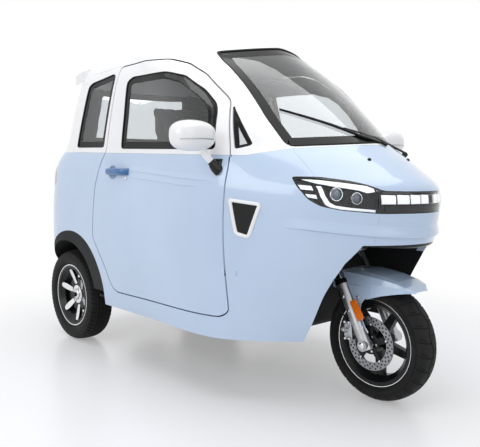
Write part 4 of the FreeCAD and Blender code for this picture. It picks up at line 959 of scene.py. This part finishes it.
rearGround = (skinOf(["rear_panel", "rear_hatch", "rear_bumper"]), 0, -1)
rearPlates = {
    "plateCarrier": dict(corners=[(-166, 576), (166, 576), (166, 699), (-166, 699)], grid=(8, 20), lift=4, depth=5,
                         bulge=0, look=("grainedBlackPp", "black_plastic")),
    "numberPlateBlank": dict(corners=[(-155, 585), (155, 585), (155, 690), (-155, 690)], grid=(8, 20), lift=5.6,
                             depth=1.4, bulge=0, look=whitePaint),
    "hatchHandle": dict(corners=[(-70, 1050), (70, 1050), (70, 1072), (-70, 1072)], grid=(6, 24), lift=6, depth=8,
                        bulge=6, look=glossBlack),
}
for name, plate in rearPlates.items():
    flat = fourSided(plate["corners"], *plate["grid"])
    piece(name, skinPlate(flat, rearGround, plate["lift"], plate["depth"], plate["bulge"]), "body", *plate["look"])
plateBolt = [(-24, 0), (-24, 3), (5.4, 3), (5.4, 7), (8, 6.4), (9, 4), (9.2, 0)]
plateBolts = [turnedShape(plateBolt, *spotOn((y, 640), rearGround), steps=24) for y in (-90, 90)]
piece("plateBolts", joined(plateBolts), "body", "zincPlatedSteel", "disc_steel")
print("rear details done")


# Inner faces of the painted shell carry the cabin's lining: those that look at the cabin's middle, but not the
# forward face of the lip at the roof's rear end

roofLipX, roofLipZ, leastFacing = -0.75, 1.38, 0.42
lined = {"needledFelt": ["roof", "rear_hatch", *pair("quarter", "door_frame")],
         "grainedBlackPp": ["hood", "nose_band", "rear_panel", *pair("side_panel", "door_panel")]}
for finishName, members in lined.items():
    for member in members:
        mesh = nodes[member].data
        mesh.materials.append(materials[finishName])
        turn = np.array(nodes[member].matrix_world)
        place = vectorsOf(mesh.polygons, "center") @ turn[:3, :3].T + turn[:3, 3]
        out = unit(vectorsOf(mesh.polygons, "normal") @ turn[:3, :3].T)
        heart = np.stack([place[:, 0] * 0.45 - 0.03, place[:, 1] * 0, np.clip(place[:, 2], 0.55, 1.0)], 1)
        inside = (place[:, 0] > roofLipX) | (place[:, 2] < roofLipZ)
        inward = ((out * unit(heart - place)).sum(1) > leastFacing) & inside
        mesh.polygons.foreach_set("material_index", inward.astype(np.int32))
        mesh.update()
print("lining done")


# Seats: the CAD blocks drawn in a little, blown up as cloth, then given sewn channels

seats = {
    "frontSeatCushion": dict(node="seat_front", drawIn=9, cap=22, voxel=9, channelGap=62, channelHalf=185,
                             depth=6.0, wide=4.5),
    "rearSeatCushion": dict(node="seat_rear", drawIn=9, cap=22, voxel=10, channelGap=78, channelHalf=300,
                            depth=6.0, wide=5.0),
}
padCloth = dict(quality=4, use_pressure=True, uniform_pressure_force=4.0, tension_stiffness=12.0,
                compression_stiffness=12.0, bending_stiffness=0.4)
clothFrames = 20


def setPlaces(mesh, places):
    mesh.vertices.foreach_set("co", np.ascontiguousarray(places).ravel())
    mesh.update()


def applied(made):
    # The evaluated mesh takes the place of the object's own, with no modifier left
    deps = bpy.context.evaluated_depsgraph_get()
    mesh = bpy.data.meshes.new_from_object(made.evaluated_get(deps))
    made.modifiers.clear()
    made.data = mesh
    return mesh


def padShape(name, pad):
    # Drawn in, remeshed evenly, blown up as cloth with its movement capped, and smoothed by one subdivision
    source = nodes[pad["node"]]
    made = addObject(name, source.data.copy())
    made.data.transform(source.matrix_world)
    remesh = made.modifiers.new("even", "REMESH")
    remesh.mode = "VOXEL"
    remesh.voxel_size = pad["voxel"] * mm
    mesh = applied(made)
    even = vectorsOf(mesh.vertices, "co")
    setPlaces(mesh, even - vectorsOf(mesh.vertex_normals, "vector") * pad["drawIn"] * mm)
    soften = made.modifiers.new("soften", "SMOOTH")
    soften.factor, soften.iterations = 0.5, 6
    mesh = applied(made)
    start = vectorsOf(mesh.vertices, "co")
    cloth = made.modifiers.new("cloth", "CLOTH")
    for key, value in padCloth.items():
        setattr(cloth.settings, key, value)
    cloth.settings.effector_weights.gravity = 0.0
    cloth.point_cache.frame_start, cloth.point_cache.frame_end = 1, clothFrames
    for step in range(1, clothFrames + 1):
        bpy.context.scene.frame_set(step)
    mesh = applied(made)
    bpy.context.scene.frame_set(1)
    moved = vectorsOf(mesh.vertices, "co") - start
    size = np.linalg.norm(moved, axis=1, keepdims=True)
    moved *= np.minimum(1.0, pad["cap"] * mm / np.maximum(size, 1e-9))
    setPlaces(mesh, start + moved)
    finer = made.modifiers.new("finer", "SUBSURF")
    finer.levels = finer.render_levels = 1
    mesh = applied(made)
    # Sewn channels run over the cushion and up the back, sunk along the surface's own normals
    places, out = vectorsOf(mesh.vertices, "co"), vectorsOf(mesh.vertex_normals, "vector")
    gap = pad["channelGap"] * mm
    off = np.abs(np.mod(places[:, 1] + gap / 2, gap) - gap / 2)
    shows = np.clip(out[:, 0] * 1.4, 0, 1) + np.clip(out[:, 2] * 1.4, 0, 1)
    inner = np.clip((pad["channelHalf"] * mm - np.abs(places[:, 1])) / 0.012, 0, 1)
    sunk = pad["depth"] * mm * np.exp(-(off / (pad["wide"] * mm)) ** 2)
    crown = 0.35 * pad["depth"] * mm * np.cos(off / gap * 2 * math.pi + math.pi)
    setPlaces(mesh, places - out * ((sunk + crown) * np.minimum(shows, 1) * inner)[:, None])
    mesh.polygons.foreach_set("use_smooth", np.ones(len(mesh.polygons), bool))
    mesh.materials.clear()
    mesh.materials.append(materials["embossedVinyl"])
    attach(made, "body")
    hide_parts(pad["node"])


for name, pad in seats.items():
    padShape(name, pad)
print("seats done")


# Studio: pale floor that fades to white for the camera, soft overhead and side lamps

studio = {"floorHalf": 14.0, "floorColour": "#F4F4F5", "floorRoughness": 0.28, "fadeFrom": 1.2, "fadeTo": 2.5,
          "leastWhite": 0.3, "worldColour": (0.93, 0.95, 1.0, 1.0), "worldStrength": 0.52,
          "cameraPlace": (2.4375, -2.165, 0.968), "cameraTurn": (84.74, 0.0, 48.3), "lens": 48.375}


def whiteForCamera(tree, shader, mask):
    # The camera, mirrors and glass see plain white where mask is 1
    rays = addNode(tree, "LightPath", {}, {})
    seen = addNode(tree, "Math", {"operation": "MAXIMUM"}, {0: rays.outputs["Is Camera Ray"],
                                                            1: rays.outputs["Is Transmission Ray"]})
    seen = addNode(tree, "Math", {"operation": "MAXIMUM"}, {0: seen.outputs[0], 1: rays.outputs["Is Glossy Ray"]})
    amount = seen.outputs[0]
    if mask is not None:
        amount = addNode(tree, "Math", {"operation": "MULTIPLY"}, {0: amount, 1: mask}).outputs[0]
    kind = "Background" if shader.type == "BACKGROUND" else "Emission"
    white = addNode(tree, kind, {"Color": (1, 1, 1, 1), "Strength": 1.0}, {})
    return addNode(tree, "MixShader", {}, {0: amount, 1: shader.outputs[0], 2: white.outputs[0]}).outputs[0]


floorMaterial = bpy.data.materials.new("paleStudioFloor")
floorMaterial.use_nodes = True
tree = floorMaterial.node_tree
shader = tree.nodes["Principled BSDF"]
shader.inputs["Base Color"].default_value = linear(studio["floorColour"])
shader.inputs["Roughness"].default_value = studio["floorRoughness"]
place = addNode(tree, "TexCoord", {}, {}).outputs["Object"]
away = addNode(tree, "VectorMath", {"operation": "LENGTH"}, {0: place}).outputs["Value"]
fade = addNode(tree, "MapRange", {"interpolation_type": "SMOOTHSTEP", 1: studio["fadeFrom"], 2: studio["fadeTo"],
                                  3: studio["leastWhite"]},
               {"Value": away}).outputs["Result"]
tree.links.new(whiteForCamera(tree, shader, fade), tree.nodes["Material Output"].inputs["Surface"])
half = studio["floorHalf"]
floorMesh = bpy.data.meshes.new("studioFloor")
floorMesh.from_pydata([(-half, -half, 0), (half, -half, 0), (half, half, 0), (-half, half, 0)], [], [(0, 1, 2, 3)])
floorMesh.materials.append(floorMaterial)
floor = addObject("studioFloor", floorMesh)

world = bpy.data.worlds.new("studioWorld")
bpy.context.scene.world = world
world.use_nodes = True
tree = world.node_tree
sky = tree.nodes["Background"]
sky.inputs["Color"].default_value = studio["worldColour"]
sky.inputs["Strength"].default_value = studio["worldStrength"]
tree.links.new(whiteForCamera(tree, sky, None), tree.nodes["World Output"].inputs["Surface"])

lamps = {
    "overheadSoftbox": dict(place=(0.2, -0.3, 4.2), aim=(0, 0, 0.4), size=(4.6, 3.2), power=92),
    "rightSoftbox": dict(place=(0.6, -4.6, 2.6), aim=(0, 0, 0.8), size=(3.6, 2.2), power=60),
    "frontSoftbox": dict(place=(4.6, -0.4, 2.4), aim=(0.6, 0, 0.7), size=(2.4, 2.4), power=20),
    "rearSoftbox": dict(place=(-4.2, 2.6, 2.8), aim=(-0.4, 0, 0.9), size=(2.6, 2.2), power=30),
}
for name, lamp in lamps.items():
    light = bpy.data.lights.new(name, "AREA")
    light.shape = "RECTANGLE"
    light.size, light.size_y = lamp["size"]
    light.energy = lamp["power"]
    holder = addObject(name, light)
    holder.location = lamp["place"]
    holder.rotation_euler = (Vector(lamp["aim"]) - Vector(lamp["place"])).to_track_quat("-Z", "Y").to_euler()

cameraData = bpy.data.cameras.new("photoCamera")
cameraData.lens = studio["lens"]
cameraData.sensor_width = 36
camera = addObject("photoCamera", cameraData)
camera.location = studio["cameraPlace"]
camera.rotation_euler = [math.radians(angle) for angle in studio["cameraTurn"]]
bpy.context.scene.camera = camera
bpy.context.scene.view_settings.view_transform = "Standard"
print("studio ready")
